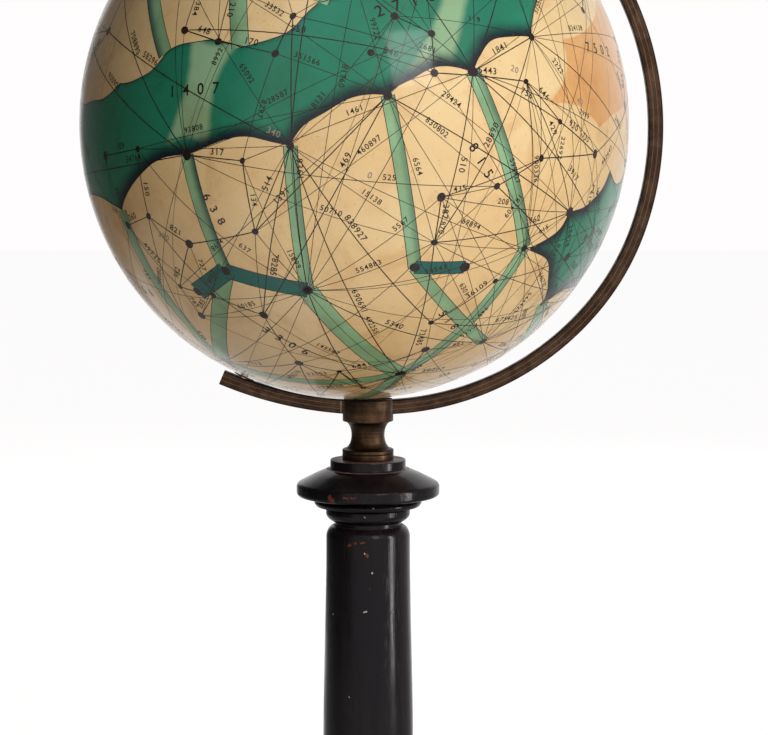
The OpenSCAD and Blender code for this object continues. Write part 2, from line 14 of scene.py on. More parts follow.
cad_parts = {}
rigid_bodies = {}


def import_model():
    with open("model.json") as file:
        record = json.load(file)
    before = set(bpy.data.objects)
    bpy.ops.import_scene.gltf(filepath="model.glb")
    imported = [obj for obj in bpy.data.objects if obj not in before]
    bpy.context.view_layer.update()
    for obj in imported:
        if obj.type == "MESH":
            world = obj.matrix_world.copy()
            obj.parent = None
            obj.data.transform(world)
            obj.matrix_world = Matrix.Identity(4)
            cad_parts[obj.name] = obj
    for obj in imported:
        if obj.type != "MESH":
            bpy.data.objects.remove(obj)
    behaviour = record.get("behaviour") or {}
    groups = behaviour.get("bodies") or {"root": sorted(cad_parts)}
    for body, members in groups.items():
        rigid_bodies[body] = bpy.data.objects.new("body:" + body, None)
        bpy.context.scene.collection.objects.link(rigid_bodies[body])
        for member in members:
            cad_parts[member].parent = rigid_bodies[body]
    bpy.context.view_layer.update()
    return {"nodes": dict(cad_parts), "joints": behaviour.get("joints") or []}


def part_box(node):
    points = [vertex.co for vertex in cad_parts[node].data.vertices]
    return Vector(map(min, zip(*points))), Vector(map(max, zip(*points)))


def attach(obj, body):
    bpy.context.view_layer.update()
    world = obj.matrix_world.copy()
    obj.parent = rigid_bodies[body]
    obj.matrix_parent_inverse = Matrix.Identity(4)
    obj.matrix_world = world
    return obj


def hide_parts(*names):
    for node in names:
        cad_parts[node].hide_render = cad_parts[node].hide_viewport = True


bl_info = {
    "name": "Table Globe",
    "version": (1, 0, 0),
    "blender": (4, 5, 0),
    "location": "3D View > Sidebar > Globe",
    "description": "Builds a table globe with a painted ball, a meridian arm and a turned stand",
    "category": "Add Mesh",
}

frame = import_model()
MM = 0.001
SPIN_AXIS = frame["joints"][0]
CENTRE = Vector(SPIN_AXIS["pos_m"])
POLE = Vector(SPIN_AXIS["axis"]).normalized()
FRONT = Vector((0, -1, 0))
EAST = FRONT.cross(POLE).normalized() * -1
EDGE_ANGLE = math.radians(32)
SKIN_ANGLE = math.radians(60)


def paint(red, green, blue):
    """A colour as it shows on a screen, 0 to 255, as linear values."""
    def linear(value):
        value /= 255
        return value / 12.92 if value <= 0.04045 else ((value + 0.055) / 1.055) ** 2.4
    return (linear(red), linear(green), linear(blue), 1.0)


def length(name, text, default):
    """A size setting in millimetres."""
    return bpy.props.FloatProperty(name=name, description=text, default=default, precision=2)


def angle_setting(name, text, default):
    """An angle setting, held in radians."""
    return bpy.props.FloatProperty(name=name, description=text, default=default, unit="ROTATION")


def colour(name, text, default):
    """A colour setting."""
    return bpy.props.FloatVectorProperty(
        name=name, description=text, default=default, size=4, subtype="COLOR", min=0, max=1
    )


def watts(name, text, default):
    """The power of a lamp."""
    return bpy.props.FloatProperty(name=name, description=text, default=default, min=0, unit="POWER")


def fraction(name, text, default):
    """A share from 0 to 1."""
    return bpy.props.FloatProperty(name=name, description=text, default=default, min=0, max=1)


class BallSettings(bpy.types.PropertyGroup):
    """Sizes and colours of the ball and its map."""

    radius: length("Radius", "Radius of the finished ball", 101.5)
    skin: length("Ink height", "Height of the highest ink above the paper", 0.05)
    bush: length("Bush", "Diameter of the bush at each pole", 12.0)
    calotte: angle_setting(
        "Polar paper", "Angle from the pole to the edge of a polar paper", math.radians(10)
    )
    gores: bpy.props.IntProperty(name="Gores", description="Number of paper gores", default=12, min=8)
    dots: bpy.props.IntProperty(name="Dots", description="Number of ink dots", default=150, min=0)
    seed: bpy.props.IntProperty(name="Seed", description="Seed of the net of lines", default=11)
    land: colour("Land", "Colour of the land", paint(240, 213, 163))
    tan_land: colour("Tan land", "Colour of the darker land", paint(228, 176, 116))
    sea: colour("Sea", "Colour of the open sea", paint(36, 136, 110))
    deep: colour("Deep shore", "Colour of the sea along a dark shore", paint(8, 28, 42))
    band: colour("Band", "Colour of the pale bands", paint(148, 194, 154))
    ink: colour("Ink", "Colour of the ink", paint(26, 16, 16))
    grey_ink: colour("Grey ink", "Colour of the degree numbers", paint(150, 138, 128))


class ArmSettings(bpy.types.PropertyGroup):
    """Sizes and colours of the meridian arm and its socket."""

    width: length("Width", "Width of the arm's face", 5.35)
    thickness: length("Thickness", "Thickness from front to back", 5.0)
    gap: length("Gap", "Least gap between arm and ball", 0.3)
    edge: length("Edge", "Radius of the eased edges", 0.4)
    line_pitch: length("Line pitch", "Distance between the scribed lines", 1.7)
    line_width: length("Line width", "Width of a scribed line", 0.36)
    line_depth: length("Line depth", "Depth of a scribed line", 0.18)
    pivot_hole: length("Pivot hole", "Diameter of the hole for each pivot", 3.2)
    socket_drum: length("Drum", "Diameter of the socket's drum", 19.0)
    socket_waist: length("Waist", "Diameter of the socket's waist", 12.4)
    socket_base: length("Base bead", "Diameter of the socket's base bead", 19.3)
    bronze: colour("Bronze", "Colour of the bronzed brass", paint(84, 65, 52))
    line: colour("Scribed line", "Colour of the metal in the scribed lines", paint(144, 108, 76))


class StandSettings(bpy.types.PropertyGroup):
    """Sizes and colours of the column and the foot."""

    cap: length("Flange", "Diameter of the cap's flange", 53.8)
    disc: length("Disc", "Diameter of the disc under the socket", 28.4)
    ring: length("Ring", "Diameter of the upper ring", 40.5)
    low_ring: length("Low ring", "Diameter of the lower ring", 31.7)
    neck: length("Neck", "Diameter of the neck", 25.0)
    shaft_top: length("Shaft top", "Diameter of the shaft at its top", 31.6)
    shaft_low: length("Shaft foot", "Diameter of the shaft lower down", 34.2)
    foot: length("Foot", "Diameter of the foot", 156.0)
    black: colour("Ebonised wood", "Colour of the stained and polished wood", paint(11, 8, 12))
    bare: colour("Bare wood", "Colour where the black is chipped away", paint(86, 42, 29))


class StageSettings(bpy.types.PropertyGroup):
    """The room, the lamps and the camera."""

    key_power: watts("Key", "Power of the big lamp at the front right", 20.0)
    window_power: watts("Window", "Power of the lamp that shows on the ball", 4.0)
    strip_power: watts("Strip", "Power of the narrow lamp at the right", 2.6)
    back_power: watts("Back lamp", "Power of the soft lamp behind the globe", 9.0)
    room_light: fraction("Room", "Light of the room on the object", 0.10)
    dark_sides: fraction("Dark sides", "Gloss that the dark sides of the room take away", 0.5)
    screen: fraction("Dark screen", "Light that a dark screen at the left takes away", 0.85)
    focal_length: length("Focal length", "Focal length on a 36 mm sensor", 114.47)
    eye_right: length("Eye right", "How far the camera stands right of the column", 6.02)
    eye_distance: length("Eye distance", "How far the camera stands in front of the column", 911.0)
    look_down: angle_setting("Look down", "How far the camera looks down", math.radians(5.645))


# Shader helpers


def fill(tree, node, inputs):
    """Gives a node's inputs their values or links."""
    for key, value in inputs.items():
        if isinstance(value, bpy.types.NodeSocket):
            tree.links.new(value, node.inputs[key])
        else:
            node.inputs[key].default_value = value
    return node


def add(tree, kind, inputs=None, **settings):
    """A node with its settings, and with values or links on its inputs."""
    made = tree.nodes.new(kind)
    for key, value in settings.items():
        setattr(made, key, value)
    return fill(tree, made, inputs or {})


def calc(tree, operation, *values, clamp=False):
    """The result of a math node."""
    made = add(tree, "ShaderNodeMath", dict(enumerate(values)), operation=operation, use_clamp=clamp)
    return made.outputs[0]


def product(tree, *values):
    """The product of two or more values."""
    result = values[0]
    for value in values[1:]:
        result = calc(tree, "MULTIPLY", result, value)
    return result


def calc_vector(tree, operation, *values):
    """A vector math node."""
    return add(tree, "ShaderNodeVectorMath", dict(enumerate(values)), operation=operation)


def scaled(tree, vector, factor):
    """A vector times a factor."""
    return add(tree, "ShaderNodeVectorMath", {0: vector, "Scale": factor}, operation="SCALE").outputs[0]


def complement(tree, value):
    """One minus a value."""
    return calc(tree, "SUBTRACT", 1.0, value)


def parts_of(tree, vector):
    """The outputs X, Y and Z of a vector."""
    return add(tree, "ShaderNodeSeparateXYZ", {0: vector}).outputs


def mesh_value(tree, name):
    """A value that the piece's mesh holds at its points."""
    return add(tree, "ShaderNodeAttribute", attribute_name=name).outputs["Fac"]


def blend_colour(tree, factor, first, second, blend="MIX"):
    """Two colours mixed by a factor."""
    made = add(
        tree, "ShaderNodeMix", {0: factor, 6: first, 7: second},
        data_type="RGBA", blend_type=blend, clamp_factor=True,
    )
    return made.outputs[2]


def remap(tree, value, low, high, new_low=0.0, new_high=1.0, smooth=True):
    """A value moved from one range to another."""
    made = add(
        tree, "ShaderNodeMapRange",
        {"Value": value, "From Min": low, "From Max": high, "To Min": new_low, "To Max": new_high},
        interpolation_type="SMOOTHSTEP" if smooth else "LINEAR",
    )
    return made.outputs["Result"]


def place_of(tree):
    """Object coordinates in metres, the same frame for every piece."""
    return tree.nodes.new("ShaderNodeTexCoord").outputs["Object"]


def stretched_place(tree, scale):
    """Object coordinates times a scale for each axis."""
    return add(tree, "ShaderNodeMapping", {"Vector": place_of(tree), "Scale": scale}).outputs[0]


def noise(tree, vector, scale, detail=3.0, roughness=0.5, distortion=0.0):
    """A noise value about 0.5, with its scale in bumps to the metre."""
    made = add(
        tree, "ShaderNodeTexNoise",
        {"Vector": vector, "Scale": scale, "Detail": detail, "Roughness": roughness,
         "Distortion": distortion},
    )
    return made.outputs["Fac"]


def effect_group(name, inputs, outputs):
    """A new shader group with its sockets: {name: (socket type, default)} and {name: socket type}."""
    tree = bpy.data.node_groups.new(name, "ShaderNodeTree")
    for label, (kind, default) in inputs.items():
        socket = tree.interface.new_socket(label, in_out="INPUT", socket_type=kind)
        socket.default_value = default
    for label, kind in outputs.items():
        tree.interface.new_socket(label, in_out="OUTPUT", socket_type=kind)
    return tree, tree.nodes.new("NodeGroupInput").outputs, tree.nodes.new("NodeGroupOutput").inputs


def use_group(tree, name, inputs):
    """A built group in a material, with its own values."""
    made = tree.nodes.new("ShaderNodeGroup")
    made.node_tree = bpy.data.node_groups[name]
    return fill(tree, made, inputs).outputs


def build_aged_varnish():
    """Mottling, stains and brush marks of old varnished paper."""
    tree, given, out = effect_group(
        "aged_varnish",
        {"Colour": ("NodeSocketColor", (0.8, 0.8, 0.8, 1)), "Stain": ("NodeSocketFloat", 1.0)},
        {"Colour": "NodeSocketColor", "Roughness": "NodeSocketFloat", "Height": "NodeSocketFloat"},
    )
    place = place_of(tree)
    clouds = remap(tree, noise(tree, place, 17, 4, 0.55), 0.36, 0.66)
    patches = remap(tree, noise(tree, place, 62, 5, 0.62, 0.6), 0.46, 0.74)
    specks = remap(tree, noise(tree, place, 900, 2, 0.6), 0.66, 0.74)
    fibres = noise(tree, place, 2600, 2, 0.6)
    aged = given["Colour"]
    for mask, share, stain, blend in (
        (clouds, 0.30, paint(226, 196, 150), "MULTIPLY"),
        (patches, 0.34, paint(214, 176, 128), "MULTIPLY"),
        (specks, 0.35, paint(120, 84, 52), "MIX"),
    ):
        aged = blend_colour(tree, product(tree, mask, given["Stain"], share), aged, stain, blend)
    fibre_share = remap(tree, fibres, 0.3, 0.7, 0.965, 1.03)
    aged = blend_colour(tree, 1.0, aged, fibre_share, "MULTIPLY")
    tree.links.new(aged, out["Colour"])
    tree.links.new(remap(tree, noise(tree, place, 40, 3), 0.3, 0.7, 0.22, 0.36), out["Roughness"])
    ripple = calc(tree, "MULTIPLY", noise(tree, place, 70, 2), 0.5)
    grit = calc(tree, "MULTIPLY", noise(tree, place, 600, 3), 0.08)
    tree.links.new(calc(tree, "ADD", ripple, grit), out["Height"])


def build_scar():
    """A mask about the stretch between two points."""
    tree, given, out = effect_group(
        "scar",
        {"Place": ("NodeSocketVector", (0, 0, 0)), "Start": ("NodeSocketVector", (0, 0, 0)),
         "End": ("NodeSocketVector", (0, 0, 0)), "Size": ("NodeSocketFloat", 0.001)},
        {"Mask": "NodeSocketFloat"},
    )
    from_start = calc_vector(tree, "SUBTRACT", given["Place"], given["Start"]).outputs[0]
    along = calc_vector(tree, "SUBTRACT", given["End"], given["Start"]).outputs[0]
    dot_along = calc_vector(tree, "DOT_PRODUCT", from_start, along).outputs["Value"]
    dot_self = calc_vector(tree, "DOT_PRODUCT", along, along).outputs["Value"]
    share = calc(tree, "DIVIDE", dot_along, dot_self, clamp=True)
    away = calc_vector(tree, "DISTANCE", from_start, scaled(tree, along, share)).outputs["Value"]
    half = calc(tree, "MULTIPLY", given["Size"], 0.7)
    tree.links.new(remap(tree, away, half, given["Size"], 1.0, 0.0), out["Mask"])


def build_polished_wood():
    """Grain and a worn polish along an upright axis."""
    dark = ("NodeSocketColor", (0.1, 0.1, 0.1, 1))
    tree, given, out = effect_group(
        "polished_wood",
        {"Colour": dark, "Grain colour": dark, "Grain": ("NodeSocketFloat", 0.3)},
        {"Colour": "NodeSocketColor", "Roughness": "NodeSocketFloat", "Height": "NodeSocketFloat"},
    )
    stretched = stretched_place(tree, (1, 1, 0.06))
    pores = remap(tree, noise(tree, stretched, 1500, 3, 0.6), 0.55, 0.72)
    figure = remap(tree, noise(tree, stretched, 260, 4, 0.6), 0.42, 0.68)
    worn = remap(tree, noise(tree, place_of(tree), 45, 4, 0.6), 0.35, 0.7)
    share = calc(tree, "MULTIPLY", figure, given["Grain"])
    toned = blend_colour(tree, share, given["Colour"], given["Grain colour"])
    tree.links.new(toned, out["Colour"])
    rough = calc(tree, "ADD", remap(tree, worn, 0, 1, 0.13, 0.26), calc(tree, "MULTIPLY", pores, 0.1))
    tree.links.new(rough, out["Roughness"])
    dips = calc(tree, "MULTIPLY", pores, -0.35)
    swell = calc(tree, "MULTIPLY", noise(tree, place_of(tree), 120, 3), 0.5)
    tree.links.new(calc(tree, "ADD", dips, swell), out["Height"])


def build_patina():
    """Browned and rubbed metal with fine turning or drawing marks."""
    tree, given, out = effect_group(
        "patina",
        {"Metal": ("NodeSocketColor", (0.5, 0.4, 0.3, 1)), "Brown": ("NodeSocketColor", (0.1, 0.07, 0.05, 1)),
         "Cover": ("NodeSocketFloat", 0.5), "Streak": ("NodeSocketFloat", 1.0),
         "Along": ("NodeSocketVector", (0, 0, 0))},
        {"Colour": "NodeSocketColor", "Roughness": "NodeSocketFloat", "Height": "NodeSocketFloat"},
    )
    place = place_of(tree)
    blotch = noise(tree, place, 150, 5, 0.65, 0.4)
    edge = complement(tree, given["Cover"])
    cover = remap(tree, blotch, calc(tree, "SUBTRACT", edge, 0.22), calc(tree, "ADD", edge, 0.22))
    marks = noise(tree, given["Along"], 1, 3, 0.6)
    streak = remap(tree, marks, 0.3, 0.7, 0.72, 1.25)
    toned = blend_colour(tree, cover, given["Metal"], given["Brown"])
    toned = blend_colour(tree, given["Streak"], toned, streak, "MULTIPLY")
    tree.links.new(toned, out["Colour"])
    tree.links.new(remap(tree, cover, 0, 1, 0.34, 0.52), out["Roughness"])
    tree.links.new(marks, out["Height"])


FINISHES = {}


def new_material(name, settings, finish):
    """A material on one Principled shader. finish(tree) gives linked sockets by the shader's input names."""
    made = bpy.data.materials.new(name)
    FINISHES[name] = made
    made.use_nodes = True
    tree = made.node_tree
    shader = tree.nodes["Principled BSDF"]
    for key, value in settings.items():
        shader.inputs[key].default_value = value
    for key, value in finish(tree).items():
        tree.links.new(value, shader.inputs[key])
    made.diffuse_color = shader.inputs["Base Color"].default_value
    return made


def bump(tree, height, strength, distance):
    """A normal from a height."""
    made = add(tree, "ShaderNodeBump", {"Height": height, "Strength": strength, "Distance": distance})
    return made.outputs["Normal"]


VARNISH = {"Coat Weight": 0.55, "Coat Roughness": 0.09, "Coat IOR": 1.5, "Specular IOR Level": 0.12}


def varnished(tree, colour_socket, stain):
    """The linked sockets that every varnished map colour shares."""
    aged = use_group(tree, "aged_varnish", {"Colour": colour_socket, "Stain": stain})
    return {
        "Base Color": aged["Colour"],
        "Roughness": aged["Roughness"],
        "Normal": bump(tree, aged["Height"], 0.05, 0.0004),
    }


def seam_distance(tree, place, ball):
    """Distance in metres to the nearest seam between gores, or to the edge of a polar paper."""
    local = add(
        tree, "ShaderNodeMapping",
        {"Vector": place, "Location": CENTRE, "Rotation": (0, math.atan2(POLE.x, POLE.z), 0)},
        vector_type="TEXTURE",
    ).outputs[0]
    parts = parts_of(tree, local)
    turn = calc(tree, "ARCTAN2", parts["Y"], parts["X"])
    gore = calc(tree, "MULTIPLY", turn, ball.gores / math.tau)
    from_seam = calc(tree, "ABSOLUTE", calc(tree, "SUBTRACT", calc(tree, "FRACT", gore), 0.5))
    squares = [calc(tree, "MULTIPLY", parts[axis], parts[axis]) for axis in "XY"]
    out_radius = calc(tree, "SQRT", calc(tree, "ADD", *squares))
    gore_width = calc(tree, "MULTIPLY", out_radius, math.tau / ball.gores)
    seam_away = calc(tree, "MULTIPLY", calc(tree, "SUBTRACT", 0.5, from_seam), gore_width)
    cap_radius = ball.radius * MM * math.sin(ball.calotte)
    cap_away = calc(tree, "ABSOLUTE", calc(tree, "SUBTRACT", out_radius, cap_radius))
    outside = calc(tree, "GREATER_THAN", out_radius, cap_radius)
    seam_away = calc(tree, "ADD", seam_away, complement(tree, outside))
    return calc(tree, "MINIMUM", seam_away, cap_away)


def paper_finish(ball):
    """Painted land and seas, the seams of the gores, and varnish."""
    def finish(tree):
        names = ("sea_depth", "dark_shore", "tan_land", "cream_land", "pale_sea")
        depth, shore, tan, cream, pale = (mesh_value(tree, name) for name in names)
        place = place_of(tree)
        wander = calc(tree, "SUBTRACT", noise(tree, place, 160, 4, 0.6), 0.5)

        def wandering(reach, amount):
            return calc(tree, "ADD", reach, calc(tree, "MULTIPLY", wander, amount))

        in_sea = remap(tree, wandering(depth, 0.5), -0.12, 0.12)
        wash = noise(tree, place, 30, 4, 0.6, 0.5)
        deep_share = remap(tree, wandering(shore, 2.0), 0.4, 6.5, 1.0, 0.0)
        rim_share = remap(tree, depth, 0.0, 1.8, 0.55, 0.0)
        wash_share = remap(tree, wash, 0.35, 0.7, 0.0, 0.35)
        sea = blend_colour(tree, wash_share, tuple(ball.sea), paint(28, 112, 100))
        sea = blend_colour(tree, rim_share, sea, paint(20, 84, 82))
        pale_share = remap(tree, wandering(pale, 1.6), -1.6, 1.6, 0.0, 0.85)
        sea = blend_colour(tree, pale_share, sea, paint(158, 198, 160))
        sea = blend_colour(tree, deep_share, sea, tuple(ball.deep))
        tan_share = remap(tree, wandering(tan, 2.0), -0.4, 0.4)
        land = blend_colour(tree, tan_share, tuple(ball.land), tuple(ball.tan_land))
        cream_share = remap(tree, wandering(cream, 1.0), -0.5, 0.5, 0.0, 0.8)
        land = blend_colour(tree, cream_share, land, paint(238, 216, 176))
        painted = blend_colour(tree, in_sea, land, sea)
        seam = remap(tree, seam_distance(tree, place, ball), 0.00005, 0.00028, 0.55, 0.0)
        painted = blend_colour(tree, seam, painted, paint(96, 66, 42))
        return varnished(tree, painted, 1.0)
    return finish


def washed(tree, colour_value, low, high):
    """A colour laid on unevenly, between low and high of its strength."""
    wash = remap(tree, noise(tree, place_of(tree), 48, 4, 0.6), 0.35, 0.7, low, high)
    return blend_colour(tree, 1.0, tuple(colour_value), wash, "MULTIPLY")


def flat_paint_finish(colour_value, stain):
    """One map colour under the varnish."""
    def finish(tree):
        return varnished(tree, washed(tree, colour_value, 0.86, 1.06), stain)
    return finish


def band_finish(ball):
    """A pale band, darker along one edge."""
    def finish(tree):
        across, shade = mesh_value(tree, "across"), mesh_value(tree, "shade")
        dark_side = calc(tree, "MULTIPLY", remap(tree, across, -0.3, 1.0), shade)
        toned = blend_colour(tree, dark_side, washed(tree, ball.band, 0.84, 1.08), paint(16, 70, 70))
        return varnished(tree, toned, 0.8)
    return finish


def ink_finish(colour_value):
    """Ink, thinner here and there."""
    def finish(tree):
        thin = remap(tree, noise(tree, place_of(tree), 700, 3, 0.6), 0.45, 0.8, 0.0, 0.45)
        toned = blend_colour(tree, thin, tuple(colour_value), paint(96, 62, 44))
        return varnished(tree, toned, 0.2)
    return finish


# Wear on the turned wood by its kind: start (3), end (3) and half width, in millimetres
CAP_SCARS = {
    "chip": [
        (-14.0, -22.9, 214.9, -12.4, -23.7, 213.6, 1.0), (-8.6, -25.5, 215.2, -4.2, -26.5, 215.2, 0.4),
        (-12.6, -17.0, 212.4, -11.4, -17.6, 212.0, 0.5), (12.0, 23.9, 215.6, 15.4, 22.0, 215.2, 0.6),
        (-26.6, 3.0, 216.4, -26.4, 5.6, 216.0, 0.5), (20.8, 16.8, 214.6, 21.6, 15.8, 214.4, 0.7),
        (26.6, -3.6, 216.2, 26.8, -2.0, 216.0, 0.4),
    ],
    "crack": [
        (14.0, -22.6, 215.2, 15.0, -22.0, 214.4, 0.5),
    ],
    "speck": [
        (2.0, -20.1, 210.6, 2.2, -20.1, 210.5, 0.3), (-1.2, -15.7, 206.6, -1.0, -15.7, 206.5, 0.3),
    ],
}
SHAFT_SCARS = {
    "chip": [
        (-7.0, -14.1, 195.4, -6.4, -14.4, 195.8, 0.55), (-4.9, -15.0, 196.7, -4.5, -15.1, 196.9, 0.35),
        (-2.6, -15.6, 196.7, -1.4, -15.8, 197.1, 0.4), (-0.4, -15.8, 192.3, 0.0, -15.8, 191.8, 0.6),
        (0.8, -15.9, 180.2, 0.9, -15.9, 179.9, 0.4), (6.0, 14.8, 190.4, 7.6, 14.0, 189.6, 0.6),
        (15.6, 4.6, 120.4, 15.8, 4.0, 119.8, 0.5), (3.0, -16.8, 112.0, 3.4, -16.7, 111.6, 0.5),
    ],
    "crack": [
        (10.9, -11.8, 173.8, 8.6, -13.6, 170.4, 0.28), (8.6, -13.6, 170.4, 7.6, -14.3, 168.2, 0.2),
        (7.4, -14.4, 168.4, 4.9, -15.5, 163.2, 0.16), (15.2, -4.8, 181.6, 13.1, -9.1, 177.4, 0.22),
        (-15.6, -6.4, 133.0, -16.2, -4.4, 134.6, 0.28), (13.5, -8.2, 193.9, 13.9, -7.6, 193.6, 0.4),
        (-9.6, 12.8, 150.0, -6.4, 14.8, 143.2, 0.2), (-10.2, -13.6, 98.0, -8.8, -14.5, 95.0, 0.2),
    ],
    "speck": [
        (-1.2, -15.8, 193.0, -1.1, -15.8, 192.9, 0.3), (1.6, -15.8, 185.8, 1.6, -15.8, 185.5, 0.35),
        (-1.4, -16.1, 170.9, -0.5, -16.1, 171.2, 0.3), (-7.1, -15.3, 138.7, -7.0, -15.3, 138.5, 0.3),
        (-13.1, -9.5, 169.0, -13.0, -9.6, 168.8, 0.3), (-16.4, 2.0, 165.0, -16.4, 2.2, 164.6, 0.4),
    ],
}
FOOT_SCARS = {
    "chip": [
        (-30.0, -70.8, 8.6, -24.0, -73.0, 8.2, 0.9), (46.0, -60.6, 12.2, 49.0, -58.2, 12.0, 0.8),
        (72.0, 24.0, 9.0, 69.8, 29.0, 8.6, 0.9), (-60.0, 46.6, 12.4, -56.0, 51.4, 12.4, 0.8),
        (18.0, -20.0, 45.6, 19.4, -18.6, 45.2, 0.5), (10.0, -66.2, 19.0, 12.0, -66.0, 18.6, 0.5),
        (8.0, 76.0, 8.0, 16.0, 74.8, 8.0, 0.8),
    ],
    "crack": [
        (-38.0, -38.0, 26.0, -34.0, -34.0, 29.0, 0.25),
    ],
    "speck": [],
}


def ebonised_finish(stand, scars, dust_and_sheen_share):
    """Black stained and polished wood with its chips, cracks and specks, and on upward faces a pale tone that
    is partly dust and partly painted sheen.
    """
    def finish(tree):
        wood = use_group(
            tree, "polished_wood",
            {"Colour": tuple(stand.black), "Grain colour": paint(24, 18, 18), "Grain": 0.5},
        )
        toned = wood["Colour"]
        height = wood["Height"]
        place = place_of(tree)
        wander = add(tree, "ShaderNodeTexNoise", {"Vector": place, "Scale": 1100.0, "Detail": 3.0})
        shift = calc_vector(tree, "SUBTRACT", wander.outputs["Color"], (0.5, 0.5, 0.5)).outputs[0]
        for kind, inner, ragged in (
            ("chip", tuple(stand.bare), 0.0026),
            ("crack", paint(3, 2, 3), 0.0008),
            ("speck", paint(150, 138, 130), 0.0006),
        ):
            point = calc_vector(tree, "ADD", place, scaled(tree, shift, ragged)).outputs[0]
            for scar in scars[kind]:
                start, end, size = Vector(scar[:3]) * MM, Vector(scar[3:6]) * MM, scar[6] * MM
                values = {"Place": point, "Start": start, "End": end, "Size": size}
                mask = use_group(tree, "scar", values)["Mask"]
                toned = blend_colour(tree, mask, toned, inner)
                if kind != "speck":
                    height = calc(tree, "SUBTRACT", height, calc(tree, "MULTIPLY", mask, 1.6))
        # Upward faces turn pale lilac-brown and duller: partly real dust, partly a painted sheen of the light
        # that falls on them from above.
        facing = tree.nodes.new("ShaderNodeNewGeometry").outputs["True Normal"]
        upward = remap(tree, parts_of(tree, facing)["Z"], 0.915, 0.985)
        patchy = remap(tree, noise(tree, place, 220, 4, 0.6), 0.3, 0.7, 0.45, 1.0)
        dust_and_sheen = calc(tree, "MULTIPLY", upward, patchy)
        toned = blend_colour(tree, calc(tree, "MULTIPLY", dust_and_sheen, dust_and_sheen_share), toned, paint(86, 68, 64))
        rough = calc(tree, "ADD", wood["Roughness"], calc(tree, "MULTIPLY", dust_and_sheen, 0.35))
        return {
            "Base Color": toned,
            "Roughness": rough,
            "Normal": bump(tree, height, 0.22, 0.0003),
        }
    return finish


def bronze_finish(metal, brown, cover, scale):
    """Browned brass with marks that run along scale's small axis."""
    def finish(tree):
        skin = use_group(
            tree, "patina",
            {"Metal": metal, "Brown": brown, "Cover": cover, "Along": stretched_place(tree, scale)},
        )
        return {
            "Base Color": skin["Colour"],
            "Roughness": skin["Roughness"],
            "Normal": bump(tree, skin["Height"], 0.10, 0.0002),
        }
    return finish


def arm_finish(arm):
    """Browned brass drawn along the arm, with paler scribed lines and painted shade along its edges."""
    def finish(tree):
        across, along, through = (mesh_value(tree, name) for name in ("across", "along", "through"))
        scales = ((along, 0.09), (across, 3.0), (through, 3.0))
        marks = [calc(tree, "MULTIPLY", value, scale) for value, scale in scales]
        drawn = add(tree, "ShaderNodeCombineXYZ", dict(enumerate(marks))).outputs[0]
        skin = use_group(
            tree, "patina",
            {"Metal": tuple(arm.bronze), "Brown": paint(56, 43, 36), "Cover": 0.55, "Streak": 0.9,
             "Along": drawn},
        )
        pale, dark = tuple(arm.line), paint(34, 26, 22)
        flecks = noise(tree, calc_vector(tree, "MULTIPLY", drawn, (9.0, 3.0, 3.0)).outputs[0], 1, 3, 0.7)
        flecked = blend_colour(tree, remap(tree, flecks, 0.52, 0.7, 0.0, 0.32), skin["Colour"], pale)
        flecked = blend_colour(tree, remap(tree, flecks, 0.34, 0.46, 0.4, 0.0), flecked, dark)
        from_middle = calc(tree, "ABSOLUTE", across)
        from_line = calc(tree, "ABSOLUTE", calc(tree, "SUBTRACT", from_middle, arm.line_pitch / 2))
        half_w, half_t = arm.width / 2, arm.thickness / 2
        on_face = remap(tree, calc(tree, "ABSOLUTE", through), half_t - 0.3, half_t - 0.2)
        broken = remap(tree, noise(tree, drawn, 6, 3), 0.38, 0.6, 0.1, 0.75)
        line = product(tree, remap(tree, from_line, 0.1, 0.28, 1.0, 0.0), on_face, broken)
        toned = blend_colour(tree, line, flecked, pale)
        # Painted shade: the face darkens towards both edges, as if the eased edges were turned away from the
        # light.
        painted_edge_shade = remap(tree, from_middle, half_w - 0.9, half_w - 0.1, 0.0, 0.7)
        toned = blend_colour(tree, painted_edge_shade, toned, dark)
        return {
            "Base Color": toned,
            "Roughness": skin["Roughness"],
            "Normal": bump(tree, skin["Height"], 0.12, 0.0002),
        }
    return finish


def grained_finish(base, dark, scale, strength, distance):
    """A plain material with a grain of its own."""
    def finish(tree):
        grain = noise(tree, stretched_place(tree, scale), 1, 4, 0.65)
        toned = blend_colour(tree, remap(tree, grain, 0.35, 0.7), base, dark)
        return {
            "Base Color": toned,
            "Roughness": remap(tree, grain, 0.3, 0.7, 0.55, 0.85),
            "Normal": bump(tree, grain, strength, distance),
        }
    return finish


# Metals: name, bare metal, brown skin, how much of it is browned, and the scale of the marks
METALS = (
    ("socket_bronze", paint(88, 66, 47), paint(50, 37, 29), 0.55, (60, 60, 4000)),
    ("mark_bronze", paint(134, 114, 92), paint(96, 76, 60), 0.3, (800, 800, 800)),
    ("brass", paint(196, 164, 104), paint(120, 92, 56), 0.42, (900, 900, 900)),
    ("steel", paint(176, 176, 178), paint(110, 104, 100), 0.35, (900, 900, 900)),
)
# Grained materials: name, settings, colour, darker colour, scale of the grain, strength and depth of relief
GRAINED = (
    ("leather", {}, paint(92, 58, 38), paint(56, 34, 24), (1400, 1400, 1400), 0.5, 0.0003),
    ("felt", {"Sheen Weight": 0.4}, paint(34, 72, 50), paint(18, 44, 30), (2600, 2600, 2600), 0.8, 0.0004),
    ("beech", {}, paint(198, 158, 112), paint(162, 118, 76), (900, 900, 40), 0.3, 0.0002),
    ("pasteboard", {}, paint(160, 140, 112), paint(128, 108, 84), (500, 500, 500), 0.5, 0.0003),
    ("plaster", {}, paint(226, 220, 208), paint(204, 196, 182), (300, 300, 300), 0.4, 0.0003),
)


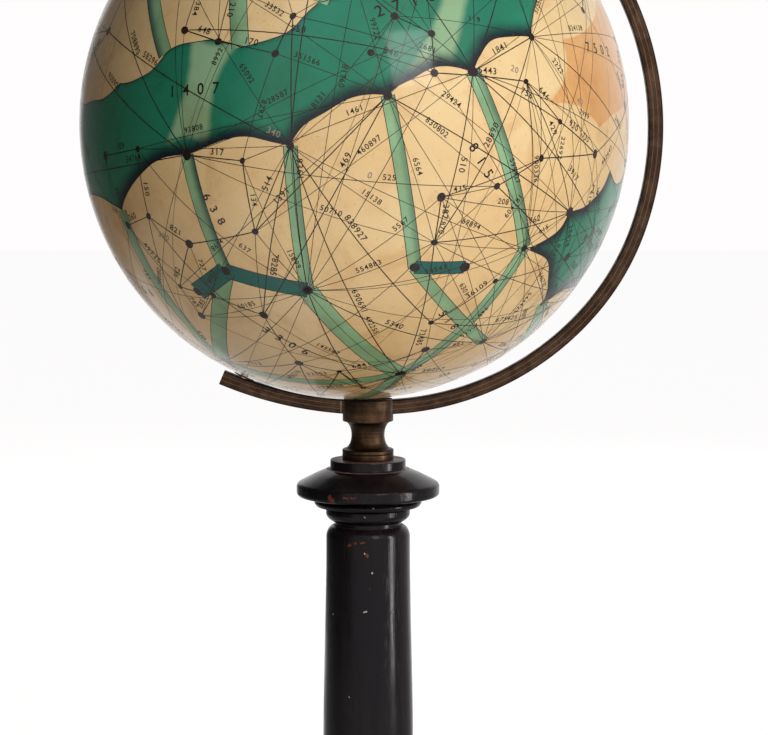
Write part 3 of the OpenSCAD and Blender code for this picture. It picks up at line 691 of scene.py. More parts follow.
def build_materials(scene):
    """Every material by its name."""
    ball, arm, stand = scene.globe_ball, scene.globe_arm, scene.globe_stand
    build_aged_varnish()
    build_scar()
    build_polished_wood()
    build_patina()
    metal = {"Metallic": 1.0}
    polish = {"Specular IOR Level": 0.15}
    new_material("map_paper", VARNISH, paper_finish(ball))
    new_material("band_paint", VARNISH, band_finish(ball))
    new_material("lake_paint", VARNISH, flat_paint_finish(paint(24, 104, 98), 0.6))
    new_material("map_ink", VARNISH, ink_finish(ball.ink))
    new_material("grey_ink", VARNISH, ink_finish(ball.grey_ink))
    # The cap's upward faces take the strongest dust and painted sheen, which lightens its disc top.
    new_material("ebonised_cap", polish, ebonised_finish(stand, CAP_SCARS, 1.0))
    new_material("ebonised_shaft", polish, ebonised_finish(stand, SHAFT_SCARS, 0.5))
    new_material("ebonised_foot", polish, ebonised_finish(stand, FOOT_SCARS, 0.4))
    new_material("arm_bronze", metal, arm_finish(arm))
    for name, *look in METALS:
        new_material(name, metal, bronze_finish(*look))
    for name, settings, *look in GRAINED:
        new_material(name, settings, grained_finish(*look))


# Modelling helpers


def publish(name, source, material, body, replaced=(), smooth_angle=EDGE_ANGLE):
    """Turns a bmesh into a finished piece that rides on its body and stands for its CAD nodes."""
    mesh = bpy.data.meshes.new(name)
    source.to_mesh(mesh)
    source.free()
    mesh.materials.append(FINISHES[material])
    mesh.shade_smooth()
    mesh.set_sharp_from_angle(angle=smooth_angle)
    piece = bpy.data.objects.new(name, mesh)
    bpy.context.scene.collection.objects.link(piece)
    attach(piece, body)
    if replaced:
        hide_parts(*replaced)
    return piece


def arc(centre, radius, start, end, count, squash=1.0):
    """Points on an arc, angles in degrees."""
    turns = [math.radians(start + (end - start) * i / count) for i in range(count + 1)]
    return [(centre[0] + radius * math.cos(a), centre[1] + radius * squash * math.sin(a)) for a in turns]


def spin(bm, geometry, centre, axis, angle, steps, closed=False):
    """Sweeps geometry round an axis and returns what lies at the end of the sweep."""
    made = bmesh.ops.spin(
        bm, geom=geometry, cent=centre, axis=axis, dvec=(0, 0, 0), angle=angle, steps=steps,
        use_merge=closed, use_normal_flip=False, use_duplicate=False,
    )
    return made["geom_last"]


def turn_profile(bm, points, steps, place):
    """Spins a profile of radius and height, in millimetres, round +Z, then puts it in place."""
    ring = [bm.verts.new((x * MM, 0, z * MM)) for x, z in points]
    edges = [bm.edges.new(pair) for pair in zip(ring, ring[1:])]
    spin(bm, ring + edges, (0, 0, 0), (0, 0, 1), math.tau, steps, closed=True)
    bmesh.ops.remove_doubles(bm, verts=bm.verts, dist=1e-7)
    bmesh.ops.recalc_face_normals(bm, faces=bm.faces)
    bmesh.ops.transform(bm, matrix=place, verts=bm.verts)


def turned_wood(name, points, material, node, place, steps):
    """A turned piece of the stand that replaces its CAD node."""
    bm = bmesh.new()
    turn_profile(bm, points, steps, place)
    publish(name, bm, material, "stand", (node,))


def ease(t):
    """Smooth step from 0 to 1."""
    return t * t * (3 - 2 * t)


def axis_place():
    """The matrix from an upright axis at zero to the ball's own leaning axis."""
    turn = Matrix((EAST, POLE.cross(EAST), POLE)).transposed().to_4x4()
    return Matrix.Translation(CENTRE) @ turn


def lift(height):
    """Moves a piece up by millimetres."""
    return Matrix.Translation((0, 0, height * MM))


def sink_poles(bm, radius, hole, depth):
    """Sinks a round recess at both ends of Z, for the pivots. Sizes are in metres."""
    for side in (-1, 1):
        geometry = bm.verts[:] + bm.edges[:] + bm.faces[:]
        cut = bmesh.ops.bisect_plane(
            bm, geom=geometry, plane_co=(0, 0, side * math.sqrt(radius * radius - hole * hole)),
            plane_no=(0, 0, side), clear_outer=True,
        )
        rim = [item for item in cut["geom_cut"] if isinstance(item, bmesh.types.BMEdge)]
        wall = bmesh.ops.extrude_edge_only(bm, edges=rim)["geom"]
        sunk = [item for item in wall if isinstance(item, bmesh.types.BMVert)]
        bmesh.ops.translate(bm, vec=(0, 0, -side * depth), verts=sunk)
        floor = {edge for vert in sunk for edge in vert.link_edges if edge.is_boundary}
        bmesh.ops.edgeloop_fill(bm, edges=list(floor))
    bmesh.ops.recalc_face_normals(bm, faces=bm.faces)


def rod(radius, depth, segments, place):
    """A round rod about Z, sizes in millimetres, then put in place."""
    bm = bmesh.new()
    bmesh.ops.create_cone(
        bm, cap_ends=True, segments=segments, radius1=radius * MM, radius2=radius * MM, depth=depth * MM,
        matrix=place,
    )
    return bm


def cut_away(piece, cutter):
    """Takes a bmesh cutter out of a piece, and leaves no modifier on it."""
    mesh = bpy.data.meshes.new("cutter")
    bmesh.ops.recalc_face_normals(cutter, faces=cutter.faces)
    cutter.to_mesh(mesh)
    cutter.free()
    tool = bpy.data.objects.new("cutter", mesh)
    bpy.context.scene.collection.objects.link(tool)
    cut = piece.modifiers.new("cut", "BOOLEAN")
    cut.operation = "DIFFERENCE"
    cut.solver = "EXACT"
    cut.object = tool
    graph = bpy.context.evaluated_depsgraph_get()
    result = bpy.data.meshes.new_from_object(piece.evaluated_get(graph))
    piece.modifiers.remove(cut)
    old = piece.data
    piece.data = result
    bpy.data.meshes.remove(old)
    bpy.data.objects.remove(tool)
    result.set_sharp_from_angle(angle=EDGE_ANGLE)


# The map on the ball

# Each sea is a ring of shore corners: longitude, latitude, how far the next side bows into the sea in
# degrees, and whether that side is a dark shore
SEAS = [
    [(64, 58, 4, 0), (30, 31, 3, 1), (18, 19, 2.5, 1), (4, 8, 3, 1), (-9, -8, 2, 1), (-29, -18, 3, 1),
     (-49, -36, 2, 0), (-82, -39, 3, 0), (-77, -18, 3, 0), (-53, -11, 2, 0), (-42, -2, -2, 0),
     (-26, 5, 2, 0), (-16, 19, 3, 0), (-8, 38, -3, 0), (7, 58, 2, 0)],
    [(45, -8, 2, 1), (53, 2, 2, 1), (65, 13, 3, 0), (84, 16, 2, 0), (92, 2, 3, 1), (81, -12, 2, 1),
     (64, -17, 3, 1)],
    [(118, 40, 3, 1), (112, 12, 4, 1), (128, -14, 3, 1), (150, -22, 3, 0), (172, -8, 4, 0),
     (178, 18, 3, 0), (158, 30, 3, 0), (140, 48, 3, 0)],
    [(-112, 26, 3, 1), (-128, 2, 3, 1), (-150, -12, 3, 1), (-172, -30, 3, 0), (-150, -44, 3, 0),
     (-118, -30, 2, 0), (-96, -6, 3, 0)],
    [(-60, 66, 3, 1), (-100, 58, 3, 1), (-150, 62, 3, 1), (170, 70, 3, 1), (100, 74, 3, 1)],
    [(20, -76, 3, 1), (100, -72, 3, 1), (150, -62, 3, 1), (-160, -74, 3, 1)],
]
# Other washes of colour: rings of corners in longitude and latitude
TAN_LAND = [
    [(70, 52), (40, 34), (36, 18), (56, 20), (86, 26), (100, 44)],
    [(-150, 30), (-176, 20), (-170, 48), (-140, 52)],
]
CREAM_LAND = [
    [(-14, -38), (6, -34), (46, -46), (20, -62), (-16, -70)],
    [(110, -26), (80, -30), (70, -50), (104, -56)],
    [(-60, 44), (-84, 34), (-80, 56)],
]
PALE_SEA = [
    [(-38, 4), (-26, 8), (-24, -16), (-35, -18)],
    [(2, 56), (20, 56), (14, 17), (5, 10)],
    [(140, 34), (156, 26), (148, -16), (134, -8)],
    [(-124, 10), (-136, 4), (-156, -34), (-140, -38)],
]
# Pale bands: two ends in longitude and latitude, half width in millimetres, shade of the dark edge
BANDS = [
    (-9, -8, 6, -34, 2.4, 0.4), (6, -34, 46, -46, 3.6, 0.0), (4, 8, 24, -20, 2.3, 0.5),
    (24, -20, 56, -30, 2.2, 0.1), (-29, -18, -14, -38, 2.6, 0.9), (-14, -38, -16, -72, 3.2, 0.2),
    (-16, -72, 46, -46, 2.6, 0.0), (-49, -36, -30, -60, 2.8, 0.3), (18, 19, 45, -8, 2.6, 0.6),
    (45, -8, 46, -46, 2.4, 0.3), (-26, 5, -60, 42, 3.2, 0.3), (-42, -2, -90, 30, 3.0, 0.8),
    (-16, 19, -20, 60, 3.2, 0.3), (64, -17, 110, -40, 3.0, 0.3), (92, 2, 128, -14, 3.0, 0.3),
    (84, 16, 118, 40, 3.0, 0.3), (150, -22, 150, -62, 3.2, 0.5), (172, -8, -172, -30, 3.0, 0.2),
    (178, 18, -128, 2, 2.8, 0.3), (-82, -39, -118, -30, 3.0, 0.4), (-77, -18, -96, -6, 2.8, 0.2),
    (158, 30, 170, 70, 3.0, 0.3), (-112, 26, -100, 58, 3.0, 0.3), (46, -46, 100, -72, 2.6, 0.4),
    (-150, -44, -160, -74, 3.0, 0.3), (140, 48, 100, 74, 2.8, 0.2), (-60, 42, -60, 66, 3.2, 0.3),
    (110, -40, 100, -72, 2.8, 0.3), (-30, -60, -16, -72, 2.4, 0.2),
]
# Small lakes: dark bands between two points, half width in millimetres
LAKES = [
    (-14, -38, 6, -34, 3.0), (-14, -38, -22, -47, 3.4), (24, -20, 34, -16, 2.4),
    (-100, -60, -80, -58, 3.0), (140, 4, 146, 12, 3.0), (-60, 42, -52, 34, 2.8), (110, -40, 122, -42, 3.0),
]
# More places where many lines meet, besides the dark shores' corners
HUBS = [(46, -46), (56, -30), (-16, -72), (-60, 42), (110, -40), (6, -34)]
# Large plain numbers: longitude, latitude, text, height in millimetres, turn in degrees
REGION_NUMBERS = [
    (-32, -6, "1407", 4.0, 24), (0, 26, "2718", 4.2, 44), (8, -50, "3306", 3.6, -10),
    (26, 4, "815", 3.6, -34), (-38, 26, "4162", 3.8, -36), (-50, -56, "56", 3.6, 10),
    (-20, -26, "638", 3.2, -40), (66, -2, "94", 4.0, 0), (56, 36, "7502", 3.8, 10),
    (140, 14, "1834", 4.0, 0), (-140, -20, "2491", 4.0, 0), (-110, 44, "3675", 4.0, 0),
    (110, -20, "482", 4.0, 0), (178, 44, "5208", 4.0, 0), (-160, 6, "6043", 4.0, 0),
    (90, 58, "129", 3.8, 0), (-72, 10, "770", 4.0, 12), (76, -34, "3310", 3.6, 0),
    (-74, -52, "299", 3.6, 0), (40, -28, "518", 3.2, -20), (60, 8, "26", 3.0, 0),
]


def on_ball(longitude, latitude):
    """The unit vector of a place on the map, angles in degrees."""
    lon, lat = math.radians(longitude), math.radians(latitude)
    return (EAST * math.sin(lon) + FRONT * math.cos(lon)) * math.cos(lat) + POLE * math.sin(lat)


class Chart:
    """A flat chart about one point of the ball, in degrees, true to distance from that point."""

    def __init__(self, middle):
        self.middle = middle.normalized()
        self.right = self.middle.orthogonal().normalized()
        self.top = self.middle.cross(self.right)

    def flatten(self, points):
        """Unit vectors, one to a row, as chart points."""
        cosine = np.clip(points @ np.array(self.middle), -1, 1)
        x, y = points @ np.array(self.right), points @ np.array(self.top)
        stretch = np.degrees(np.arccos(cosine)) / np.maximum(np.hypot(x, y), 1e-9)
        return np.stack([x * stretch, y * stretch], axis=1)

    def wrap(self, point):
        """A chart point as a unit vector."""
        away = math.hypot(*point)
        if away < 1e-9:
            return self.middle.copy()
        heading = (self.right * point[0] + self.top * point[1]) / away
        return self.middle * math.cos(math.radians(away)) + heading * math.sin(math.radians(away))


def shore_of(ring, draw):
    """The chart of a ring and its edge as chart points, each with the darkness of the side after it."""
    corners = [on_ball(*corner[:2]) for corner in ring]
    chart = Chart(sum(corners, Vector()))
    flat = chart.flatten(np.array(corners))
    area = sum(a[0] * b[1] - b[0] * a[1] for a, b in zip(flat, np.roll(flat, -1, axis=0)))
    side = 1 if area > 0 else -1
    shore = []
    for corner, start, end in zip(ring, flat, np.roll(flat, -1, axis=0)):
        bow, dark = (corner[2], corner[3]) if len(corner) > 2 else (2.5, 0)
        run = end - start
        inward = np.array((-run[1], run[0])) * side / np.hypot(*run)
        count = max(6, int(np.hypot(*run) / 0.8))
        phases = [draw.uniform(0, math.tau) for _ in range(3)]
        for i in range(count):
            t = i / count
            waves = (0.16 / (k + 1) * math.sin((k + 2) * 3.1 * t + phase) for k, phase in enumerate(phases))
            depth = (bow + 2.2 * sum(waves)) * math.sin(math.pi * t) ** 0.8
            shore.append((*(start + run * t + inward * depth), dark))
    return chart, np.array(shore)


def distance_to_path(points, path, kept):
    """Straight distance from each unit vector to the nearest kept side of a closed path of unit vectors."""
    starts, ends = path[kept], np.roll(path, -1, axis=0)[kept]
    nearest = np.argmax(points @ (starts + ends).T, axis=1)
    start, run = starts[nearest], (ends - starts)[nearest]
    share = np.einsum("ij,ij->i", points - start, run) / np.einsum("ij,ij->i", run, run)
    gap = points - start - np.clip(share, 0, 1)[:, None] * run
    return np.linalg.norm(gap, axis=1)


def inside_ring(flat, ring):
    """Whether each chart point lies inside a ring of chart points."""
    inside = np.zeros(len(flat), bool)
    for (ax, ay), (bx, by) in zip(ring, np.roll(ring, -1, axis=0)):
        crosses = (ay > flat[:, 1]) != (by > flat[:, 1])
        with np.errstate(divide="ignore", invalid="ignore"):
            at = (bx - ax) * (flat[:, 1] - ay) / (by - ay) + ax
        inside ^= crosses & (flat[:, 0] < at)
    return inside


def signed_depths(points, rings, draw, radius):
    """Depth inside the nearest ring in millimetres, and distance to the nearest dark side."""
    depth = np.full(len(points), -99.0)
    dark_shore = np.full(len(points), 99.0)
    for ring in rings:
        chart, shore = shore_of(ring, draw)
        path = np.array([chart.wrap(p[:2]) for p in shore])
        away = distance_to_path(points, path, np.full(len(path), True)) * radius
        inside = inside_ring(chart.flatten(points), shore[:, :2]) & (points @ np.array(chart.middle) > -0.5)
        depth = np.maximum(depth, np.where(inside, away, -away))
        if shore[:, 2].any():
            dark = distance_to_path(points, path, shore[:, 2] > 0) * radius
            dark_shore = np.minimum(dark_shore, dark)
    return depth, dark_shore


def ribbon(skin, start, end, half_width, radius, offset=0.0, across=1, shade=0.0):
    """Adds a strip along the great circle between two unit vectors to a skin. Sizes are in millimetres."""
    axis = start.cross(end)
    if axis.length < 1e-6:
        return
    axis.normalize()
    bm = start_skin()
    across_layer = bm.verts.layers.float["across"]
    shade_layer = bm.verts.layers.float["shade"]
    chain = []
    for i in range(across + 1):
        share = 2 * i / across - 1
        aside = (offset + half_width * share) / radius
        vert = bm.verts.new((start * math.cos(aside) + axis * math.sin(aside)) * radius * MM)
        vert[across_layer] = share
        vert[shade_layer] = shade
        chain.append(vert)
    edges = [bm.edges.new(pair) for pair in zip(chain, chain[1:])]
    angle = start.angle(end)
    spin(bm, chain + edges, (0, 0, 0), axis, angle, max(1, int(angle * radius / 2.0)))
    strip = bpy.data.meshes.new("strip")
    bm.to_mesh(strip)
    bm.free()
    skin.from_mesh(strip)
    bpy.data.meshes.remove(strip)


def start_skin():
    """A bmesh for strips on the ball, with the layers that their materials read."""
    bm = bmesh.new()
    bm.verts.layers.float.new("across")
    bm.verts.layers.float.new("shade")
    return bm


def finish_skin(name, bm, material):
    """Puts a layer of strips on the ball, all faces outwards."""
    bm.normal_update()
    inward = [face for face in bm.faces if face.normal.dot(face.calc_center_median()) < 0]
    bmesh.ops.reverse_faces(bm, faces=inward)
    bmesh.ops.translate(bm, vec=CENTRE, verts=bm.verts)
    return publish(name, bm, material, "globe", smooth_angle=SKIN_ANGLE)


def layer_radius(ball, share):
    """Radius of a layer on the ball: 0 is the paper and 1 the highest ink."""
    return ball.radius - ball.skin * (1 - share) - 0.01


def clear_of_poles(start, end, room):
    """Whether the great circle between two places stays an angle away from both poles."""
    for pole in (POLE, -POLE):
        beside = abs(start.cross(end).normalized().dot(pole)) < math.sin(room)
        if beside and start.angle(pole) + end.angle(pole) < start.angle(end) + room:
            return False
    return True


def net_of_lines(ball):
    """The dots and lines of the map: {dots: [(place, size)], lines: [(start, end, half width)]}."""
    dot_room, shortest, longest = math.radians(7.5), math.radians(9), math.radians(64)
    fan_degrees, fan_chance, most_tries, pole_room = 15, 0.62, 9000, 8.0
    draw = random.Random(ball.seed)
    hubs = [on_ball(*corner[:2]) for ring in SEAS for corner in ring if corner[3]]
    hubs += [on_ball(*place) for place in HUBS]
    ends = {end for lake in LAKES for end in (lake[:2], lake[2:4])}
    dots = []
    tries = 0
    while len(dots) < ball.dots and tries < most_tries:
        tries += 1
        z, turn = draw.uniform(-0.97, 0.97), draw.uniform(-180, 180)
        spot = on_ball(turn, math.degrees(math.asin(z)))
        if all(spot.angle(other) > dot_room for other in dots + hubs):
            dots.append(spot)
    lines = []
    for hub in hubs:
        near = [spot for spot in dots + hubs if shortest < hub.angle(spot) < longest]
        rays = {}
        for spot, (x, y) in zip(near, Chart(hub).flatten(np.array(near))):
            rays.setdefault(int(math.degrees(math.atan2(y, x)) // fan_degrees), []).append(spot)
        for fan in rays.values():
            if draw.random() < fan_chance:
                lines.append((hub, draw.choice(fan), draw.choice((0.1, 0.1, 0.12, 0.18))))
    for spot in dots:
        near = sorted((other for other in dots if other is not spot), key=spot.angle)
        for other in near[:draw.randint(1, 3)]:
            lines.append((spot, other, draw.choice((0.11, 0.16, 0.2))))
    for _ in range(14):
        start, end = draw.sample(dots, 2)
        if start.angle(end) < math.radians(120):
            lines.append((start, end, 0.11))
    sized = [(spot, draw.choice((1.1, 1.3, 1.4, 1.7))) for spot in dots]
    sized += [(hub, draw.choice((1.4, 1.7, 2.0))) for hub in hubs]
    sized += [(on_ball(*end), 1.9) for end in sorted(ends)]
    room = pole_room / ball.radius
    return {"dots": sized, "lines": [line for line in lines if clear_of_poles(*line[:2], room)]}


def text_mesh(text, height):
    """A flat mesh of plain numbers about its own middle, height in millimetres."""
    capital = 0.72
    curve = bpy.data.curves.new("number", "FONT")
    curve.body = text
    curve.size = height * MM / capital
    curve.align_x = "CENTER"
    curve.align_y = "CENTER"
    curve.resolution_u = 3
    curve.offset = height * MM * 0.014
    curve.space_character = 1.15
    holder = bpy.data.objects.new("number", curve)
    mesh = bpy.data.meshes.new_from_object(holder)
    bpy.data.objects.remove(holder)
    bpy.data.curves.remove(curve)
    return mesh


def stamp_number(bm, text, height, spot, heading, radius, rise=0.0):
    """Wraps a number on the ball at spot, its base line along heading."""
    mesh = text_mesh(text, height)
    top = spot.cross(heading).normalized()
    for vert in mesh.vertices:
        flat = spot * radius * MM + heading * vert.co.x + top * (vert.co.y + rise * MM)
        vert.co = flat.normalized() * radius * MM
    bm.from_mesh(mesh)
    bpy.data.meshes.remove(mesh)


# The bends of the arm


def down(angle):
    """Unit vector in the arm's plane, in degrees to the right of straight down."""
    return Vector((math.sin(math.radians(angle)), 0, -math.cos(math.radians(angle))))


def arm_bends(radius, arm):
    """The arm's four bends: outer radii, centres from the ball's centre, and the turns between them."""
    wider = (39.1, 0.1, -10.9, 8.1)
    turns = (4.2, 50.8, 71.4)
    nip = -9
    radii = [radius + extra + arm.width for extra in wider]
    centres = [-(wider[0] - arm.gap) * down(nip)]
    for index, turn in enumerate(turns):
        centres.append(centres[-1] + (radii[index] - radii[index + 1]) * down(turn))
    return radii, centres, turns


def reach(centre, radius, heading):
    """Distance from zero to a circle along a unit heading."""
    along = heading.dot(centre)
    return along + math.sqrt(along * along - centre.dot(centre) + radius * radius)


def bend_turn(centre, radius, angle):
    """The turn of a bend, about its own centre, where it meets a heading from the ball's centre."""
    point = reach(centre, radius, down(angle)) * down(angle) - centre
    return math.degrees(math.atan2(point.x, -point.z))


# The room and its lamps


def lamp(name, place, target, size, power, shade):
    """A soft rectangular lamp."""
    data = bpy.data.lights.new(name, "AREA")
    data.shape = "RECTANGLE"
    data.size, data.size_y = size
    data.energy = power
    data.color = shade
    made = bpy.data.objects.new(name, data)
    made.location = place
    made.rotation_euler = (Vector(target) - Vector(place)).to_track_quat("-Z", "Y").to_euler()
    bpy.context.scene.collection.objects.link(made)
    return made


def backdrop_rays(tree):
    """1 for camera, glossy and transmission rays, which see the backdrop itself."""
    path = tree.nodes.new("ShaderNodeLightPath").outputs
    seen = calc(tree, "MAXIMUM", path["Is Camera Ray"], path["Is Glossy Ray"])
    return calc(tree, "MAXIMUM", seen, path["Is Transmission Ray"])


def dark_screens(tree, eye, left, sides):
    """The share of light left by the dark parts of the room, which the camera itself never sees.

    One screen at the left takes light from every ray, and a dark room at the sides takes it from gloss alone,
    so that the white behind the object lies in the gloss as a narrow band along its edges.
    """
    place = place_of(tree)
    path = tree.nodes.new("ShaderNodeLightPath").outputs
    parts = parts_of(tree, place)
    leftward = calc(tree, "ARCTAN2", calc(tree, "MULTIPLY", parts["X"], -1.0), parts["Y"])
    from_front, to_back = remap(tree, leftward, 0.24, 0.5), remap(tree, leftward, 2.2, 2.6, 1.0, 0.0)
    away = calc_vector(tree, "LENGTH", place).outputs["Value"]
    screen = product(tree, from_front, to_back, remap(tree, away, 0.7, 1.0))
    taken = product(tree, screen, complement(tree, path["Is Camera Ray"]), left)
    straight = calc_vector(tree, "NORMALIZE", calc_vector(tree, "SUBTRACT", place, eye).outputs[0]).outputs[0]
    behind = parts_of(tree, straight)["Y"]
    aside = product(tree, remap(tree, behind, -0.5, -0.2), remap(tree, behind, 0.55, 0.8, 1.0, 0.0))
    dimmed = product(tree, aside, path["Is Glossy Ray"], sides)
    return product(tree, complement(tree, taken), complement(tree, dimmed))


# Operators


class GLOBE_OT_materials(bpy.types.Operator):
    """Build every finish: varnished paper, ink, polished wood and metals"""

    bl_idname = "table_globe.materials"
    bl_label = "Finishes"

    def execute(self, context):
        build_materials(context.scene)
        return {"FINISHED"}


class GLOBE_OT_paper(bpy.types.Operator):
    """Build the ball with its painted land and seas"""

    bl_idname = "table_globe.paper"
    bl_label = "Painted ball"

    def execute(self, context):
        ball = context.scene.globe_ball
        radius = layer_radius(ball, 0)
        play, recess = 0.05, 1.3
        bm = bmesh.new()
        bmesh.ops.create_uvsphere(bm, u_segments=336, v_segments=168, radius=radius * MM)
        sink_poles(bm, radius * MM, (0.5 * ball.bush + play) * MM, recess * MM)
        bmesh.ops.transform(bm, matrix=axis_place(), verts=bm.verts)
        nodes = ("map_gores", "polar_calottes")
        mesh = publish("ball_paper", bm, "map_paper", "globe", nodes, SKIN_ANGLE).data
        places = np.empty(len(mesh.vertices) * 3, np.float32)
        mesh.vertices.foreach_get("co", places)
        points = places.reshape(-1, 3).astype(float) - np.array(CENTRE)
        points /= np.linalg.norm(points, axis=1)[:, None]
        depth, dark = signed_depths(points, SEAS, random.Random(3), ball.radius)
        washes = {"sea_depth": depth, "dark_shore": dark}
        for name, rings in (("tan_land", TAN_LAND), ("cream_land", CREAM_LAND), ("pale_sea", PALE_SEA)):
            washes[name] = signed_depths(points, rings, random.Random(5), ball.radius)[0]
        for name, values in washes.items():
            mesh.attributes.new(name, "FLOAT", "POINT").data.foreach_set("value", values.astype(np.float32))
        return {"FINISHED"}


class GLOBE_OT_bands(bpy.types.Operator):
    """Lay the pale bands and the small lakes on the ball"""

    bl_idname = "table_globe.bands"
    bl_label = "Bands and lakes"

    def execute(self, context):
        ball = context.scene.globe_ball
        for name, strips, share, material in (
            ("pale_bands", BANDS, 0.35, "band_paint"),
            ("small_lakes", LAKES, 0.55, "lake_paint"),
        ):
            skin = start_skin()
            for strip in strips:
                start, end, half = on_ball(*strip[:2]), on_ball(*strip[2:4]), strip[4]
                shade = strip[5] if len(strip) > 5 else 0.0
                ribbon(skin, start, end, half, layer_radius(ball, share), across=6, shade=shade)
            finish_skin(name, skin, material)
        return {"FINISHED"}


class GLOBE_OT_lines(bpy.types.Operator):
    """Draw the outlines, the net of lines and the dots"""

    bl_idname = "table_globe.lines"
    bl_label = "Lines and dots"

    def execute(self, context):
        ball = context.scene.globe_ball
        radius = layer_radius(ball, 0.8)
        edges = start_skin()
        for band in BANDS + LAKES:
            start, end, half = on_ball(*band[:2]), on_ball(*band[2:4]), band[4]
            for side in (-half, half):
                ribbon(edges, start, end, 0.12, radius, side)
        draw = random.Random(3)
        for ring in SEAS:
            chart, shore = shore_of(ring, draw)
            path = [chart.wrap(p[:2]) for p in shore]
            for start, end in zip(path, path[1:] + path[:1]):
                ribbon(edges, start, end, 0.16, radius)
        finish_skin("map_outlines", edges, "map_ink")
        net = net_of_lines(ball)
        lines = start_skin()
        for start, end, half in net["lines"]:
            ribbon(lines, start, end, half, radius)
        finish_skin("map_lines", lines, "map_ink")
        dots = start_skin()
        for spot, size in net["dots"]:
            turn = spot.to_track_quat("Z", "Y").to_matrix().to_4x4()
            stretch = Matrix.Diagonal((1, draw.uniform(0.82, 1.0), 1, 1))
            whirl = Matrix.Rotation(draw.uniform(0, math.pi), 4, "Z")
            place = Matrix.Translation(spot * layer_radius(ball, 0.9) * MM) @ turn @ whirl @ stretch
            corners = draw.randint(9, 16)
            bmesh.ops.create_circle(dots, cap_ends=True, segments=corners, radius=size * MM, matrix=place)
        finish_skin("map_dots", dots, "map_ink")
        return {"FINISHED"}


class GLOBE_OT_numbers(bpy.types.Operator):
    """Letter the map with plain numbers"""

    bl_idname = "table_globe.numbers"
    bl_label = "Numbers"

    def execute(self, context):
        ball = context.scene.globe_ball
        net = net_of_lines(ball)
        draw = random.Random(ball.seed + 1)
        numbers, grey = start_skin(), start_skin()
        taken = [(spot, 3.0) for spot, _ in net["dots"]]
        radius = layer_radius(ball, 1)

        def free(spot, room):
            return all(spot.angle(other) * ball.radius > room + near for other, near in taken)

        for lon, lat, text, height, turn in REGION_NUMBERS:
            spot = on_ball(lon, lat)
            level = POLE.cross(spot).normalized()
            heading = Matrix.Rotation(math.radians(turn), 3, spot) @ level
            for index, digit in enumerate(text):
                shift = (index - (len(text) - 1) / 2) * height * 1.5 / ball.radius
                place = spot * math.cos(shift) + heading * math.sin(shift)
                ahead = heading * math.cos(shift) - spot * math.sin(shift)
                stamp_number(numbers, digit, height, place, ahead, radius)
            taken.append((spot, height * len(text) * 0.6))
        for start, end, half in net["lines"]:
            span = start.angle(end) * ball.radius
            axis = start.cross(end).normalized()
            spot = Matrix.Rotation(start.angle(end) * draw.uniform(0.25, 0.75), 3, axis) @ start
            heading = axis.cross(spot).normalized()
            if spot.cross(heading).dot(POLE) < 0:
                heading = -heading
            digits = 3 if span < 26 else draw.choice((3, 4, 5, 6))
            text = str(draw.randint(10 ** (digits - 1), 10 ** digits - 1))
            if span > 13 and free(spot, 1.9):
                height = 2.3 if half > 0.14 else 2.0
                stamp_number(numbers, text, height, spot, heading, radius, height * 0.9)
                taken.append((spot, 1.0 + digits * 0.85))
        for lon in range(-180, 180, 20):
            for lat in (-40, -10, 20, 50):
                spot = on_ball(lon + 7, lat + 3)
                if free(spot, 1.6):
                    level = POLE.cross(spot).normalized()
                    stamp_number(grey, str((lon + 360) % 360), 2.2, spot, level, radius)
        finish_skin("map_numbers", numbers, "map_ink")
        finish_skin("degree_numbers", grey, "grey_ink")
        return {"FINISHED"}


class GLOBE_OT_arm(bpy.types.Operator):
    """Bend the meridian arm and scribe its lines"""

    bl_idname = "table_globe.arm"
    bl_label = "Meridian arm"

    def execute(self, context):
        ball, arm = context.scene.globe_ball, context.scene.globe_arm
        radii, centres, turns = arm_bends(ball.radius, arm)
        lean = math.degrees(math.atan2(POLE.x, POLE.z))
        past_low, past_high = 3.9, 4.2
        first = bend_turn(centres[0], radii[0], -(lean + past_low))
        last = bend_turn(centres[3], radii[3], 180 - lean + past_high)
        half_w, half_t, edge = arm.width / 2, arm.thickness / 2, arm.edge
        groove = [(-1, 0), (-0.5, 1), (0.5, 1), (1, 0)]
        corners = arc((-half_w + edge, -half_t + edge), edge, 180, 270, 4)
        for line in (-0.5, 0.5):
            corners += [(line * arm.line_pitch + x * arm.line_width / 2, -half_t + y * arm.line_depth)
                        for x, y in groove]
        corners += arc((half_w - edge, -half_t + edge), edge, 270, 360, 4)
        outline = corners + [(x, -y) for x, y in reversed(corners)]
        bm = bmesh.new()
        across = bm.verts.layers.float.new("across")
        through = bm.verts.layers.float.new("through")
        start = down(first)
        ring = []
        for x, y in outline:
            away = radii[0] - half_w + x
            vert = bm.verts.new((centres[0] + start * away + Vector((0, y, 0))) * MM)
            vert[across], vert[through] = x, y
            ring.append(vert)
        sides = [bm.edges.new(pair) for pair in zip(ring, ring[1:] + ring[:1])]
        bm.faces.new(ring)
        geometry = ring + sides
        stops = [first, *turns, last]
        for index, centre in enumerate(centres):
            swing = math.radians(stops[index + 1] - stops[index])
            steps = max(4, int(math.degrees(swing) / 0.8))
            last_ring = spin(bm, geometry, centre * MM, FRONT, swing, steps)
            geometry = [item for item in last_ring if not isinstance(item, bmesh.types.BMFace)]
        end_edges = [item for item in geometry if isinstance(item, bmesh.types.BMEdge)]
        bmesh.ops.edgeloop_fill(bm, edges=end_edges)
        bmesh.ops.recalc_face_normals(bm, faces=bm.faces)
        along = bm.verts.layers.float.new("along")
        for vert in bm.verts:
            vert[along] = math.atan2(vert.co.x, -vert.co.z) * ball.radius
        bmesh.ops.translate(bm, vec=CENTRE, verts=bm.verts)
        piece = publish("meridian_arm_bar", bm, "arm_bronze", "stand", ("meridian_arm",))
        cut_away(piece, rod(arm.pivot_hole / 2, 4 * ball.radius, 48, axis_place()))
        return {"FINISHED"}


